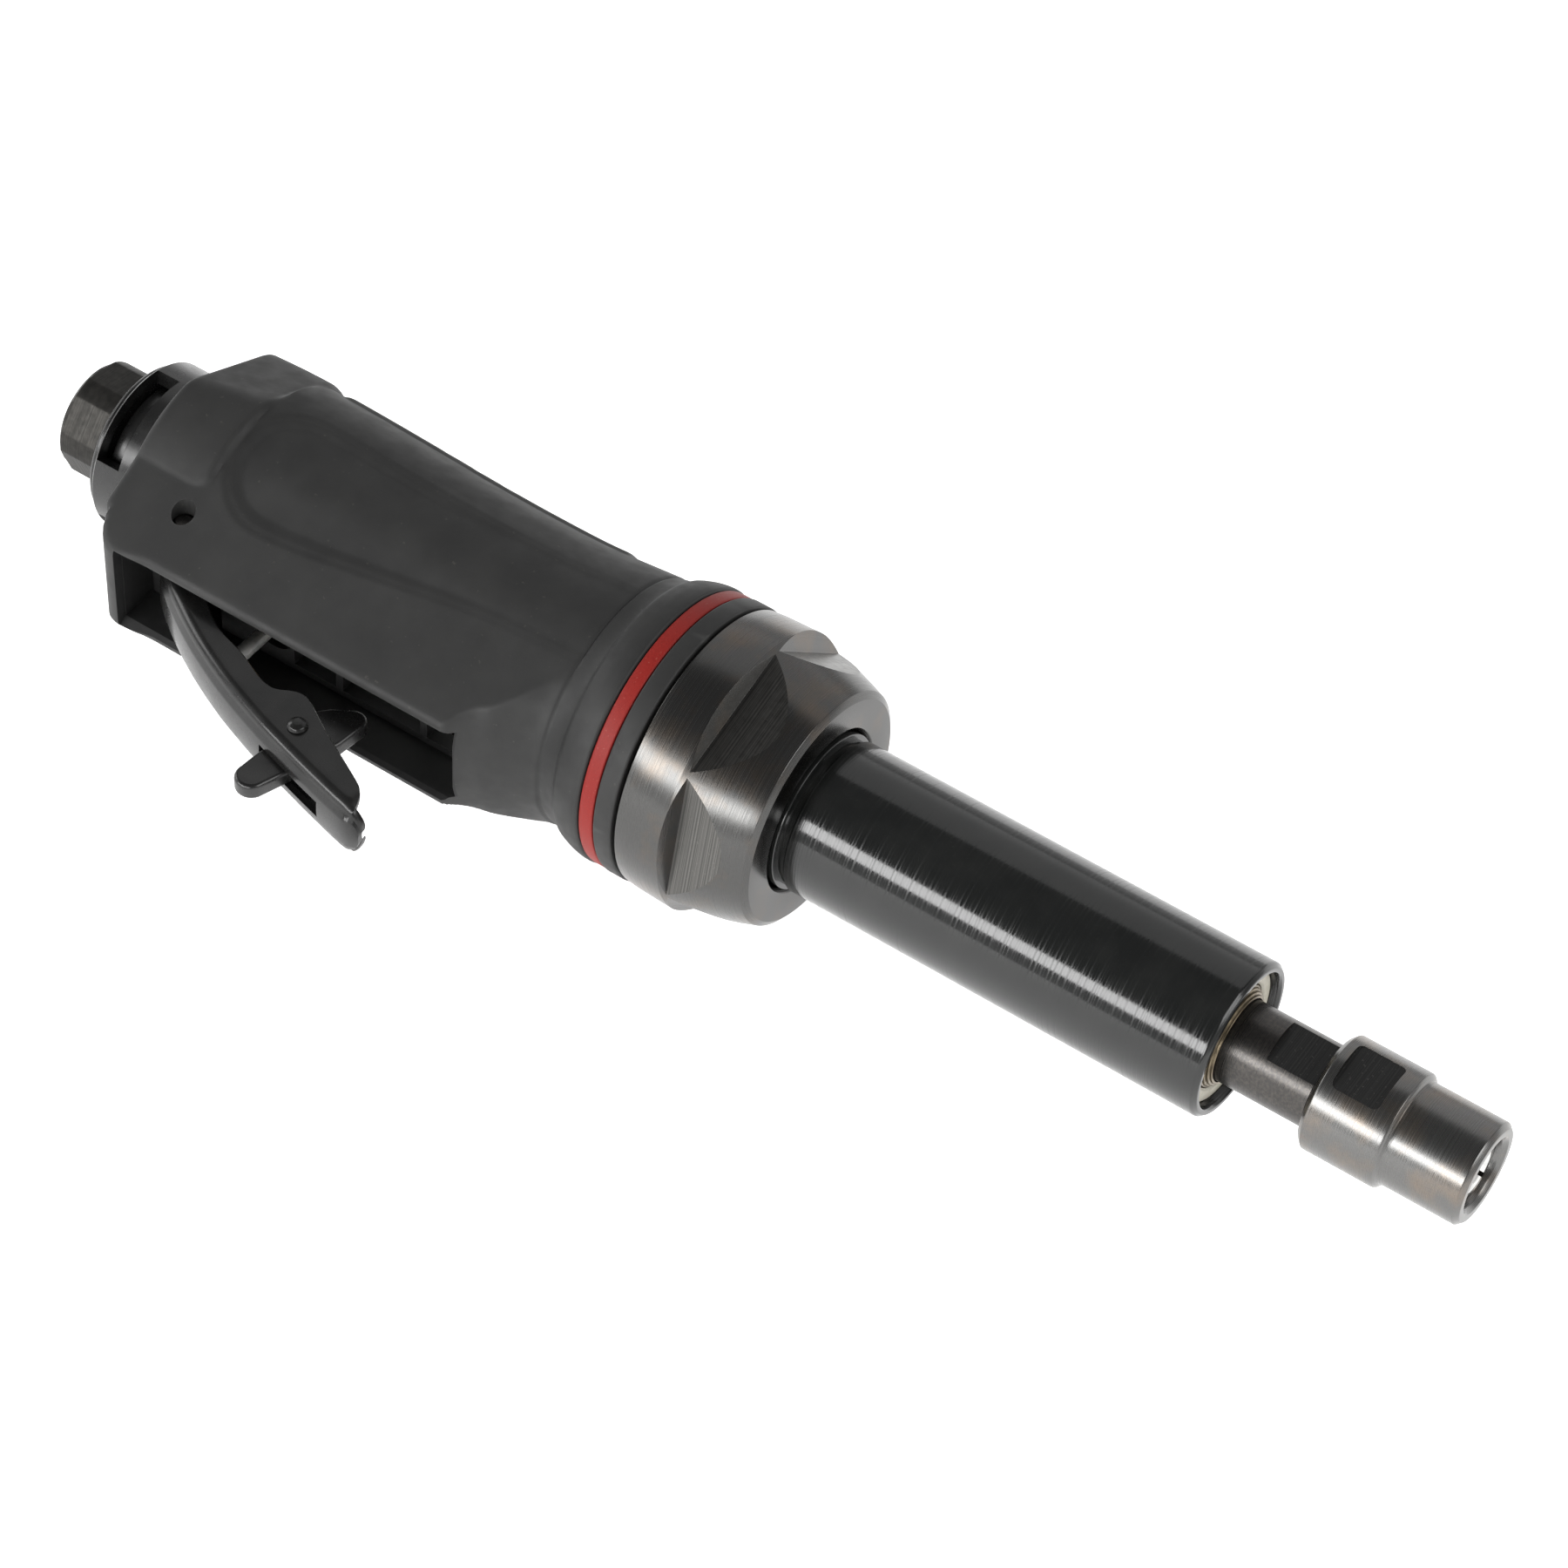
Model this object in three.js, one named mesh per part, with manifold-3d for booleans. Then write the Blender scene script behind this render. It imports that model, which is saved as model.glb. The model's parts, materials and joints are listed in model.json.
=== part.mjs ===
// Extended air die grinder: a composite-gripped vane motor with a lever throttle, a steel clamp nut,
// a long nose tube that carries the spindle in two ball bearings, and a 6 mm collet chuck.
//
// Millimetres. X runs along the spindle towards the collet. Z is up as the tool lies on its side,
// and the throttle lever is on the -Y side. All axial stations are measured from the rear face of
// the clamp nut, with the spindle axis at y = z = 0. The last lines move the whole tool so that the
// origin is at the bottom centre of its bounding box.

import * as THREE from 'three';
import { mergeVertices } from 'three/addons/utils/BufferGeometryUtils.js';
import Module from 'manifold-3d';

const wasm = await Module();
wasm.setup();

// ---------------------------------------------------------------- driving dimensions

const OUTER_SIDES = 32;
const INNER_SIDES = 24;
const BEARING_SIDES = 18;
const RACE_CLEARANCE = 0.12;
const FLAT_TILT = THREE.MathUtils.degToRad(-6);

const GRIP = {
  rear: -108, front: -7.1, radius: 23.2, railFace: -30, railHalfWidth: 10.2,
  neckStart: -24, neckRadius: 23.4, flangeRadius: 25.9, rearBore: 16.9, frontBore: 19.4, boreStep: -84,
};
const SLOT = { rear: -99.6, front: -30.2, halfWidth: 7.9, roof: -21.6, mouth: -40 };
const PIVOT_POCKET = { front: -86, roof: -16.6 };
const ROOF_WINDOWS = {
  spans: [[-70, -61], [-59.5, -43], [-41.5, -32.5]], halfWidth: 6.5, low: -23, high: -15,
};
const RED_BAND = { rear: -6.9, front: -4.1, bore: 19.4, radius: 25.6, chamfer: 0.3 };
const LOCK_RING = { rear: -3.9, front: -0.2, bore: 20.5, radius: 25.8, chamfer: 0.4 };
const HOUSING = { rear: -104, step: -83.8, front: 6, rearRadius: 16.5, radius: 19, threadRadius: 20.2 };
const MOTOR_BORE = { radius: 16.2, rear: -62.4 };
const VALVE = {
  x: -74.6, stemTip: -36.2, stemRadius: 1.4, seat: -1.4, boreRadius: 5.5, headRadius: 4.2, topY: 18.2,
  springRear: 3.5, springFront: 12.7, springRadius: 3.1, springWire: 0.4, springTurns: 3.4,
};
const FEED = { x: -67, y: -6, radius: 2, length: 16 };
const INLET = {
  rear: -132, shoulder: -121.4, hexFlats: 20, hexCorner: 10.6, hexTurn: 20.7, stemRadius: 8, thread: 5.7,
};
const DEFLECTOR = {
  rear: -121.1, front: -108.4, rimRadius: 14.7, wallRadius: 15.8, bore: 13.2,
  windows: 3, windowRear: -119.5, windowFront: -114.4, windowStart: -11, windowSweep: 74,
};
const BAFFLE_RING = { rear: -119, front: -110, bore: 8.5, radius: 12.4 };
const SCREEN = { rear: -118, front: -117.3, radius: 5.4, holes: 6, holeRadius: 0.9, holeCircle: 3.1 };
const O_RING = { x: -92.2, radius: 7.55, thickness: 0.5 };
const LEVER = {
  pivotX: -94, pivotY: -20.7, halfWidth: 6, sheet: 1.2, pinRadius: 1.75, pinHalfLength: 13.6,
};
const LOCK = {
  pivotX: -53, pivotY: -41.5, thickness: 3, pinRadius: 1.3,
  tabX: -55, tabY: -51.4, tabRadius: 2.9, armX: -49.4, armY: -31.6, armRadius: 2.4,
};
const HOLE_CLEARANCE = 0.1;
const CYLINDER = { rear: -54.8, front: -13.2, radius: 15.9, bore: 13.4, offset: 1.1 };
const PORTS = { rears: [-46, -38, -30, -22], length: 3, width: 9 };
const ROTOR = { radius: 11.9, slotWidth: 1.8, slotFloor: 6, vanes: 5, vaneWidth: 1.2, driveFlats: 6 };
const LOCATING_PIN = { x: -12.4, y: -14, radius: 0.9, length: 4.4, socketRadius: 1.2 };
const MOTOR_BEARING = { bore: 4, outer: 9.5, width: 6, balls: 6 };
const NUT = { length: 24, radius: 26.1, flatDistance: 22.7, flats: 6, firstFlat: -19, bore: 14.8 };
const TUBE = { radius: 14, bore: 12.2, front: 105.7, flangeRadius: 19.9, pilotRadius: 15.9 };
const TUBE_BEARING = { bore: 6, outer: 12, width: 6, balls: 7 };
const SPINDLE = { radius: 7.35, front: 136, flatDistance: 6, flatRear: 112.6, threadRadius: 6.6 };
const COLLET_NUT = {
  rear: 121.9, step: 136, front: 150.7, radius: 10.2, frontRadius: 9.1,
  pocketRear: 124.3, pocketFront: 132.9, pocketDistance: 9, pocketWidth: 11,
};
const COLLET = { bore: 3, slit: 0.8, slits: 4 };

// ---------------------------------------------------------------- materials

function finish(color, roughness, metalness) {
  return new THREE.MeshStandardMaterial({ color, roughness, metalness });
}

const composite = finish(0x3b3b3a, 0.75, 0);
const blackPlastic = finish(0x161616, 0.35, 0);
const blackEnamel = finish(0x121212, 0.25, 0.2);
const gunmetal = finish(0x4a4643, 0.32, 0.95);
const blackOxide = finish(0x1a1a1b, 0.25, 0.8);
const steel = finish(0x9a9a98, 0.3, 1);
const bearingSteel = finish(0xb8b8b6, 0.2, 1);
const aluminium = finish(0xa9aaa8, 0.4, 0.9);
const rubber = finish(0x1c1c1c, 0.8, 0);
const brass = finish(0xa58a4d, 0.35, 0.9);
const redAnodised = finish(0xa8261f, 0.4, 0.3);
const resin = finish(0x6b4a2b, 0.6, 0);
const washerMetal = finish(0xc8c3b4, 0.45, 0.6);

// ---------------------------------------------------------------- solids

// Signed volume of an indexed triangle list; negative when the faces point inwards.
function signedVolume(points, triangles) {
  const a = new THREE.Vector3();
  const b = new THREE.Vector3();
  const c = new THREE.Vector3();
  let volume = 0;
  for (let i = 0; i < triangles.length; i += 3) {
    a.fromArray(points, 3 * triangles[i]);
    b.fromArray(points, 3 * triangles[i + 1]);
    c.fromArray(points, 3 * triangles[i + 2]);
    volume += a.dot(b.cross(c)) / 6;
  }
  return volume;
}

// A closed geometry as a solid that can be cut and joined.
function solid(geometry) {
  const bare = geometry.clone();
  bare.deleteAttribute('normal');
  bare.deleteAttribute('uv');
  const merged = mergeVertices(bare, 1e-4);
  const points = merged.attributes.position.array;
  const index = merged.index.array;
  const triangles = [];
  for (let i = 0; i < index.length; i += 3) {
    const corners = [index[i], index[i + 1], index[i + 2]];
    if (new Set(corners).size === 3) triangles.push(...corners);
  }
  if (signedVolume(points, triangles) < 0) triangles.reverse();
  return new wasm.Manifold(
    new wasm.Mesh({ numProp: 3, vertProperties: points, triVerts: new Uint32Array(triangles) })
  );
}

function union(...solids) {
  return solids.reduce((whole, next) => whole.add(next));
}

function cut(body, ...tools) {
  return tools.reduce((whole, tool) => whole.subtract(tool), body);
}

// Body of revolution about X. The profile is a closed loop of [x, radius] points, or runs from
// axis to axis.
function turned(profile, sides = OUTER_SIDES) {
  const points = profile.map(([x, radius]) => new THREE.Vector2(radius, x));
  if (profile[0][1] > 0) points.push(points[0].clone());
  return solid(new THREE.LatheGeometry(points, sides).rotateZ(-Math.PI / 2));
}

// Plain ring between two stations.
function ring({ rear, front, bore, radius }, sides = INNER_SIDES) {
  return turned([[rear, bore], [rear, radius], [front, radius], [front, bore]], sides);
}

// Ring with both outer edges chamfered.
function chamferedRing({ rear, front, bore, radius, chamfer }) {
  return turned([
    [rear, bore], [rear, radius - chamfer], [rear + chamfer, radius], [front - chamfer, radius],
    [front, radius - chamfer], [front, bore],
  ]);
}

function rod(rear, front, radius, sides = INNER_SIDES) {
  return turned([[rear, 0], [rear, radius], [front, radius], [front, 0]], sides);
}

// Cylinder along X about the line through (y, z).
function rodAlongX(x, y, z, length, radius, sides = 12) {
  const geometry = new THREE.CylinderGeometry(radius, radius, length, sides).rotateZ(Math.PI / 2);
  return solid(geometry.translate(x, y, z));
}

// Hexagonal rod along X, turned by `angle` from the position with two corners on the Z axis.
function hexRod(rear, front, acrossFlats, angle = 0) {
  const corner = acrossFlats / Math.sqrt(3);
  const geometry = new THREE.CylinderGeometry(corner, corner, front - rear, 6).rotateZ(Math.PI / 2);
  return solid(geometry.rotateX(angle).translate((rear + front) / 2, 0, 0));
}

function box(x0, x1, y0, y1, z0, z1) {
  const geometry = new THREE.BoxGeometry(x1 - x0, y1 - y0, z1 - z0);
  return solid(geometry.translate((x0 + x1) / 2, (y0 + y1) / 2, (z0 + z1) / 2));
}

// Cylinder along Z through (x, y).
function rodAlongZ(x, y, z0, z1, radius, sides = 16) {
  const geometry = new THREE.CylinderGeometry(radius, radius, z1 - z0, sides).rotateX(Math.PI / 2);
  return solid(geometry.translate(x, y, (z0 + z1) / 2));
}

// Body of revolution about the line x = stationX, z = 0. The profile holds [y, radius] points.
function turnedAlongY(stationX, profile, sides = 16) {
  const points = profile.map(([y, radius]) => new THREE.Vector2(radius, y));
  if (profile[0][1] > 0) points.push(points[0].clone());
  return solid(new THREE.LatheGeometry(points, sides).translate(stationX, 0, 0));
}

function shapeOf(points) {
  return new THREE.Shape(points.map(([x, y]) => new THREE.Vector2(x, y)));
}

// An outline in the X-Y plane, as thick as z0 to z1.
function plate(shape, z0, z1, curveSegments = 8) {
  const settings = { depth: z1 - z0, bevelEnabled: false, curveSegments };
  return solid(new THREE.ExtrudeGeometry(shape, settings).translate(0, 0, z0));
}

// An outline in the Y-Z plane, as long as x0 to x1.
function beam(shape, x0, x1, curveSegments = 12) {
  const settings = { depth: x1 - x0, bevelEnabled: false, curveSegments };
  const turn = new THREE.Matrix4().makeBasis(
    new THREE.Vector3(0, 1, 0),
    new THREE.Vector3(0, 0, 1),
    new THREE.Vector3(1, 0, 0)
  );
  return solid(new THREE.ExtrudeGeometry(shape, settings).applyMatrix4(turn).translate(x0, 0, 0));
}

// A box that lies across the direction `angle` (from +Z towards -Y), from `inner` to `outer` radius.
function radialBox(x0, x1, width, inner, outer, angle) {
  const geometry = new THREE.BoxGeometry(x1 - x0, width, outer - inner);
  return solid(geometry.translate((x0 + x1) / 2, 0, (inner + outer) / 2).rotateX(angle));
}

// ---------------------------------------------------------------- the tool as a scene graph

const tool = new THREE.Group();

function addPart(name, body, material, parent = tool) {
  const found = body.getMesh();
  const geometry = new THREE.BufferGeometry();
  geometry.setAttribute('position', new THREE.BufferAttribute(found.vertProperties, 3));
  geometry.setIndex(new THREE.BufferAttribute(found.triVerts, 1));
  geometry.computeVertexNormals();
  const mesh = new THREE.Mesh(geometry, material);
  mesh.name = name;
  parent.add(mesh);
  return mesh;
}

// ---------------------------------------------------------------- grip and its inside

// Half-round section whose sides run straight down to the two rails beside the lever.
function gripSection() {
  const reach = Math.hypot(GRIP.railFace, GRIP.railHalfWidth);
  const fromDown = Math.atan2(GRIP.railHalfWidth, -GRIP.railFace) + Math.acos(GRIP.radius / reach);
  const shape = new THREE.Shape();
  const start = Math.PI - fromDown;
  shape.moveTo(GRIP.railFace, GRIP.railHalfWidth);
  shape.lineTo(GRIP.railFace, -GRIP.railHalfWidth);
  shape.absarc(0, 0, GRIP.radius, -start, start, false);
  return shape;
}

function makeGrip() {
  const barrel = beam(gripSection(), GRIP.rear, GRIP.neckStart, 12);
  const neck = turned([
    [-40, 0], [-40, 22.5], [-17, GRIP.neckRadius], [-12, 25.1], [-9.5, GRIP.flangeRadius],
    [GRIP.front, GRIP.flangeRadius], [GRIP.front, 0],
  ]);
  // wedges that round off the heel and the block in front of the lever
  const heelWedge = shapeOf([[-109, -26], [-104.5, -31], [-104.5, -40], [-120, -40], [-120, -26]]);
  const browWedge = shapeOf([[-30, -30.5], [-18, -23.5], [-18, -40], [-30, -40]]);
  const heel = plate(heelWedge, -GRIP.radius, GRIP.radius);
  const brow = plate(browWedge, -GRIP.radius, GRIP.radius);
  const bore = union(
    rod(-104.3, GRIP.boreStep, GRIP.rearBore),
    rod(GRIP.boreStep - HOLE_CLEARANCE, 0, GRIP.frontBore),
    rod(-110, -100, 12)
  );
  const slot = box(SLOT.rear, SLOT.front, SLOT.mouth, SLOT.roof, -SLOT.halfWidth, SLOT.halfWidth);
  const pocket = box(
    SLOT.rear, PIVOT_POCKET.front, SLOT.mouth, PIVOT_POCKET.roof, -SLOT.halfWidth, SLOT.halfWidth
  );
  const { spans, low, high, halfWidth } = ROOF_WINDOWS;
  const windows = spans.map(([rear, front]) => box(rear, front, low, high, -halfWidth, halfWidth));
  const valveHole = turnedAlongY(VALVE.x, [[-24, 0], [-24, 4.9], [-15, 4.9], [-15, 0]]);
  const pinHole = rodAlongZ(LEVER.pivotX, LEVER.pivotY, -GRIP.radius, GRIP.radius, LEVER.pinRadius + 0.4);
  return cut(union(barrel, neck), heel, brow, bore, slot, pocket, valveHole, pinHole, ...windows);
}

function makeMotorHousing() {
  const body = turned([
    [HOUSING.rear, 0], [HOUSING.rear, HOUSING.rearRadius], [HOUSING.step, HOUSING.rearRadius],
    [HOUSING.step, HOUSING.radius], [-3.6, HOUSING.radius], [-3.6, HOUSING.threadRadius],
    [HOUSING.front, HOUSING.threadRadius], [HOUSING.front, 0],
  ], INNER_SIDES);
  const motorBore = rod(MOTOR_BORE.rear, 7, MOTOR_BORE.radius);
  const inletBore = union(rod(-105, -85, INLET.stemRadius + 0.3), rod(-86, VALVE.x, 3.6));
  const valveBore = turnedAlongY(VALVE.x, [
    [-20, 0], [-20, 4.6], [-10, 4.6], [-10, 2.9], [VALVE.seat, 2.9], [VALVE.seat, VALVE.boreRadius],
    [20, VALVE.boreRadius], [20, 0],
  ]);
  const feed = rodAlongX(FEED.x, FEED.y, 0, FEED.length, FEED.radius, 16);
  return cut(body, motorBore, inletBore, valveBore, feed);
}

addPart('grip_shell', makeGrip(), composite);
addPart('motor_housing', makeMotorHousing(), aluminium);
addPart('grip_red_band', chamferedRing(RED_BAND), redAnodised);
addPart('grip_lock_ring', chamferedRing(LOCK_RING), composite);

// ---------------------------------------------------------------- air inlet and exhaust

function makeInletBushing() {
  const hex = hexRod(INLET.rear, INLET.shoulder, INLET.hexFlats, THREE.MathUtils.degToRad(INLET.hexTurn));
  const corners = turned([
    [INLET.rear, 0], [INLET.rear, 9.9], [INLET.rear + 0.8, INLET.hexCorner],
    [INLET.shoulder, INLET.hexCorner], [INLET.shoulder, 0],
  ]);
  const stem = turned([
    [-122, 0], [-122, INLET.stemRadius], [-93.4, INLET.stemRadius], [-93.4, 6.9], [-91, 6.9],
    [-91, INLET.stemRadius], [-88, INLET.stemRadius], [-88, 0],
  ]);
  const bore = turned([
    [-133, 0], [-133, 6.6], [-131.2, INLET.thread], [-117, INLET.thread], [-117, 4.4], [-87, 4.4], [-87, 0],
  ]);
  return cut(union(hex.intersect(corners), stem), bore);
}

function makeInletScreen() {
  const middle = (SCREEN.rear + SCREEN.front) / 2;
  const holes = [rodAlongX(middle, 0, 0, 3, SCREEN.holeRadius, 10)];
  for (let i = 0; i < SCREEN.holes; i += 1) {
    const angle = (2 * Math.PI * i) / SCREEN.holes;
    const y = SCREEN.holeCircle * Math.cos(angle);
    const z = SCREEN.holeCircle * Math.sin(angle);
    holes.push(rodAlongX(middle, y, z, 3, SCREEN.holeRadius, 10));
  }
  return cut(rod(SCREEN.rear, SCREEN.front, SCREEN.radius), ...holes);
}

// Deep cup with three long windows in its wall, free to turn on the inlet stem.
function makeDeflector() {
  const cup = turned([
    [DEFLECTOR.rear, 8.4], [DEFLECTOR.rear, DEFLECTOR.rimRadius], [-119.8, DEFLECTOR.rimRadius],
    [-119.8, DEFLECTOR.wallRadius], [-110.2, DEFLECTOR.wallRadius], [-110.2, 16.5],
    [DEFLECTOR.front, 16.5], [DEFLECTOR.front, DEFLECTOR.bore], [-119.6, DEFLECTOR.bore], [-119.6, 8.4],
  ]);
  const reach = DEFLECTOR.wallRadius + 4;
  const core = rod(DEFLECTOR.rear, DEFLECTOR.front, DEFLECTOR.bore - 1);
  const windows = [];
  for (let i = 0; i < DEFLECTOR.windows; i += 1) {
    const turn = DEFLECTOR.windowStart + (360 * i) / DEFLECTOR.windows;
    const start = Math.PI / 2 + THREE.MathUtils.degToRad(turn);
    const end = start + THREE.MathUtils.degToRad(DEFLECTOR.windowSweep);
    const sector = new THREE.Shape();
    sector.moveTo(0, 0);
    sector.lineTo(reach * Math.cos(start), reach * Math.sin(start));
    sector.absarc(0, 0, reach, start, end, false);
    windows.push(beam(sector, DEFLECTOR.windowRear, DEFLECTOR.windowFront, 8).subtract(core));
  }
  return cut(cup, ...windows);
}

addPart('inlet_bushing', makeInletBushing(), gunmetal);
addPart('inlet_screen', makeInletScreen(), brass);
addPart('exhaust_deflector', makeDeflector(), blackPlastic);
addPart('exhaust_baffle_ring', ring(BAFFLE_RING), blackPlastic);

const inletSeal = new THREE.TorusGeometry(O_RING.radius, O_RING.thickness, 6, 18).rotateY(Math.PI / 2);
addPart('inlet_o_ring', solid(inletSeal.translate(O_RING.x, 0, 0)), rubber);

// ---------------------------------------------------------------- throttle valve

function makeValveStem() {
  return turnedAlongY(VALVE.x, [
    [VALVE.stemTip, 0], [VALVE.stemTip + 0.9, VALVE.stemRadius], [1.2, VALVE.stemRadius],
    [1.2, VALVE.headRadius], [3.2, VALVE.headRadius], [3.2, 1.6], [5.5, 1.6], [5.5, 0],
  ]);
}

// Wire of round section wound along Y, with closed ends.
function makeCoil(stationX, y0, y1, radius, wire, turns) {
  class Helix extends THREE.Curve {
    getPoint(t) {
      const angle = 2 * Math.PI * turns * t;
      const rise = y0 + wire + (y1 - y0 - 2 * wire) * t;
      return new THREE.Vector3(stationX + radius * Math.cos(angle), rise, radius * Math.sin(angle));
    }
  }
  const section = new THREE.Shape();
  section.absarc(0, 0, wire, 0, 2 * Math.PI, false);
  const settings = { steps: Math.round(turns * 10), extrudePath: new Helix(), curveSegments: 3 };
  return solid(new THREE.ExtrudeGeometry(section, settings));
}

function makeValveSpring() {
  const { x, springRear, springFront, springRadius, springWire, springTurns } = VALVE;
  return makeCoil(x, springRear, springFront, springRadius, springWire, springTurns);
}

// Closing plug with a screwdriver slot.
function makeValvePlug() {
  const plug = turnedAlongY(VALVE.x, [[13, 0], [13, 5.2], [VALVE.topY, 5.2], [VALVE.topY, 0]]);
  return cut(plug, box(VALVE.x - 4, VALVE.x + 4, VALVE.topY - 1.2, VALVE.topY + 1, -0.5, 0.5));
}

const valveBush = turnedAlongY(VALVE.x, [[-20.6, 1.8], [-20.6, 4.2], [-10.3, 4.2], [-10.3, 1.8]]);
const valveSeal = new THREE.TorusGeometry(3.4, 0.8, 6, 16).rotateX(Math.PI / 2);

addPart('valve_bush', valveBush, brass);
addPart('valve_stem', makeValveStem(), steel);
addPart('valve_seal', solid(valveSeal.translate(VALVE.x, 0.05, 0)), rubber);
addPart('valve_spring', makeValveSpring(), steel);
addPart('valve_plug', makeValvePlug(), brass);

// ---------------------------------------------------------------- throttle lever and its safety lock

// Outer face of the lever's web, from the ear at the pivot pin to the thumb end.
const WEB_CURVE = new THREE.CatmullRomCurve3([
  new THREE.Vector3(-97.2, -22.5, 0),
  new THREE.Vector3(-93.2, -27.6, 0),
  new THREE.Vector3(-87, -31.9, 0),
  new THREE.Vector3(-79.5, -36.2, 0),
  new THREE.Vector3(-70.5, -40.4, 0),
  new THREE.Vector3(-61, -43.9, 0),
  new THREE.Vector3(-53.5, -46.2, 0),
  new THREE.Vector3(-44.5, -48.7, 0),
  new THREE.Vector3(-35.2, -50.9, 0),
  new THREE.Vector3(-33, -50.6, 0),
]);
// Free edge of the two side flanges, from the thumb end back to the pivot.
const FLANGE_EDGE = [
  [-35.2, -49.4], [-35.8, -47.2], [-37.5, -45.4], [-49, -39.4], [-55.5, -36.2], [-58.4, -35.4],
  [-61, -37.2], [-64.6, -36.6], [-71.3, -34], [-79.3, -31.2], [-88, -24.4], [-90.9, -20.2],
  [-91.8, -18.4], [-94, -17.5], [-96.2, -18.4],
];

function makeLever() {
  const web = WEB_CURVE.getPoints(26).map((p) => [p.x, p.y]);
  const inner = web.map(([x, y], i) => {
    const [x0, y0] = web[Math.max(i - 1, 0)];
    const [x1, y1] = web[Math.min(i + 1, web.length - 1)];
    const length = Math.hypot(x1 - x0, y1 - y0);
    return [x - (LEVER.sheet * (y1 - y0)) / length, y + (LEVER.sheet * (x1 - x0)) / length];
  });
  const channel = plate(shapeOf([...web, ...FLANGE_EDGE]), -LEVER.halfWidth, LEVER.halfWidth);
  const far = [[-30, -40], [-60, -10], [-110, -10], [-110, -22.5]];
  const troughHalf = LEVER.halfWidth - LEVER.sheet;
  const trough = plate(shapeOf([...inner, ...far]), -troughHalf, troughHalf);
  const lockSlot = box(-58.4, -41.8, -55, -42.5, -1.9, 1.9);
  const pivotHole = rodAlongZ(LEVER.pivotX, LEVER.pivotY, -10, 10, LEVER.pinRadius + HOLE_CLEARANCE);
  const rivetHole = rodAlongZ(LOCK.pivotX, LOCK.pivotY, -10, 10, LOCK.pinRadius + HOLE_CLEARANCE);
  return cut(channel, trough, lockSlot, pivotHole, rivetHole);
}

function makeLock() {
  const { pivotX: x, pivotY: y } = LOCK;
  const shape = new THREE.Shape();
  shape.absarc(LOCK.tabX, LOCK.tabY, LOCK.tabRadius, Math.PI * 0.93, Math.PI * 1.93, false);
  shape.lineTo(x + 3.2, y + 0.5);
  shape.lineTo(-48, -36.5);
  shape.absarc(LOCK.armX, LOCK.armY, LOCK.armRadius, -0.15, Math.PI * 0.65, false);
  shape.lineTo(-56.6, -34.6);
  shape.lineTo(x - 3.6, y + 1);
  const body = plate(shape, -LOCK.thickness / 2, LOCK.thickness / 2, 10);
  return cut(body, rodAlongZ(x, y, -3, 3, LOCK.pinRadius + HOLE_CLEARANCE));
}

// Rivet through both flanges, with a domed head on each side.
function makeRivet() {
  const profile = [[-7.1, 0], [-6.9, 1.2], [-6.15, 1.9], [-6.15, LOCK.pinRadius]];
  const mirrored = profile.map(([z, radius]) => [-z, radius]).reverse();
  const points = [...profile, ...mirrored].map(([z, radius]) => new THREE.Vector2(radius, z));
  const geometry = new THREE.LatheGeometry(points, 16).rotateX(Math.PI / 2);
  return solid(geometry.translate(LOCK.pivotX, LOCK.pivotY, 0));
}

// Torsion spring beside the lock plate, drawn as its closed coil.
function makeLockSpring() {
  const profile = [[1.7, 0], [2.6, 0], [2.6, 2.2], [1.7, 2.2], [1.7, 0]];
  const points = profile.map(([radius, z]) => new THREE.Vector2(radius, z));
  const geometry = new THREE.LatheGeometry(points, 16).rotateX(Math.PI / 2);
  return solid(geometry.translate(LOCK.pivotX, LOCK.pivotY, 1.9));
}

const { pivotX, pivotY, pinHalfLength, pinRadius } = LEVER;
addPart('throttle_lever', makeLever(), blackEnamel);
addPart('lever_pivot_pin', rodAlongZ(pivotX, pivotY, -pinHalfLength, pinHalfLength, pinRadius), steel);
addPart('safety_lock', makeLock(), blackPlastic);
addPart('safety_lock_rivet', makeRivet(), blackEnamel);
addPart('safety_lock_spring', makeLockSpring(), steel);

// ---------------------------------------------------------------- bearings

// Deep-groove bearing: two plain races and a cage whose balls stand out of it on both sides.
function addBearing(name, rear, { bore, outer, width, balls }) {
  const front = rear + width;
  const raceHeight = (outer - bore) * 0.26;
  const innerTop = bore + raceHeight;
  const outerBottom = outer - raceHeight;
  const pitch = (innerTop + outerBottom) / 2;
  const ballRadius = (outerBottom - innerTop) / 2 - 0.2;
  const middle = (rear + front) / 2;
  const innerRace = { rear, front, bore: bore + RACE_CLEARANCE, radius: innerTop };
  const outerRace = { rear, front, bore: outerBottom, radius: outer };
  const cageRing = { rear: middle - 0.8, front: middle + 0.8, bore: pitch - 0.5, radius: pitch + 0.5 };
  const spheres = [];
  for (let i = 0; i < balls; i += 1) {
    const angle = (2 * Math.PI * i) / balls;
    const ball = new THREE.IcosahedronGeometry(ballRadius, 0);
    spheres.push(solid(ball.translate(middle, pitch * Math.cos(angle), pitch * Math.sin(angle))));
  }
  addPart(`${name}_inner_race`, ring(innerRace, BEARING_SIDES), bearingSteel);
  addPart(`${name}_outer_race`, ring(outerRace, BEARING_SIDES), bearingSteel);
  addPart(`${name}_ball_cage`, union(ring(cageRing, BEARING_SIDES), ...spheres), brass);
}

// ---------------------------------------------------------------- vane motor

function makeEndPlate(rear, front, pocketRear, pocketFront) {
  const body = ring({ rear, front, bore: MOTOR_BEARING.bore + 0.6, radius: CYLINDER.radius });
  return body.subtract(rod(pocketRear, pocketFront, MOTOR_BEARING.outer + HOLE_CLEARANCE));
}

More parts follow.
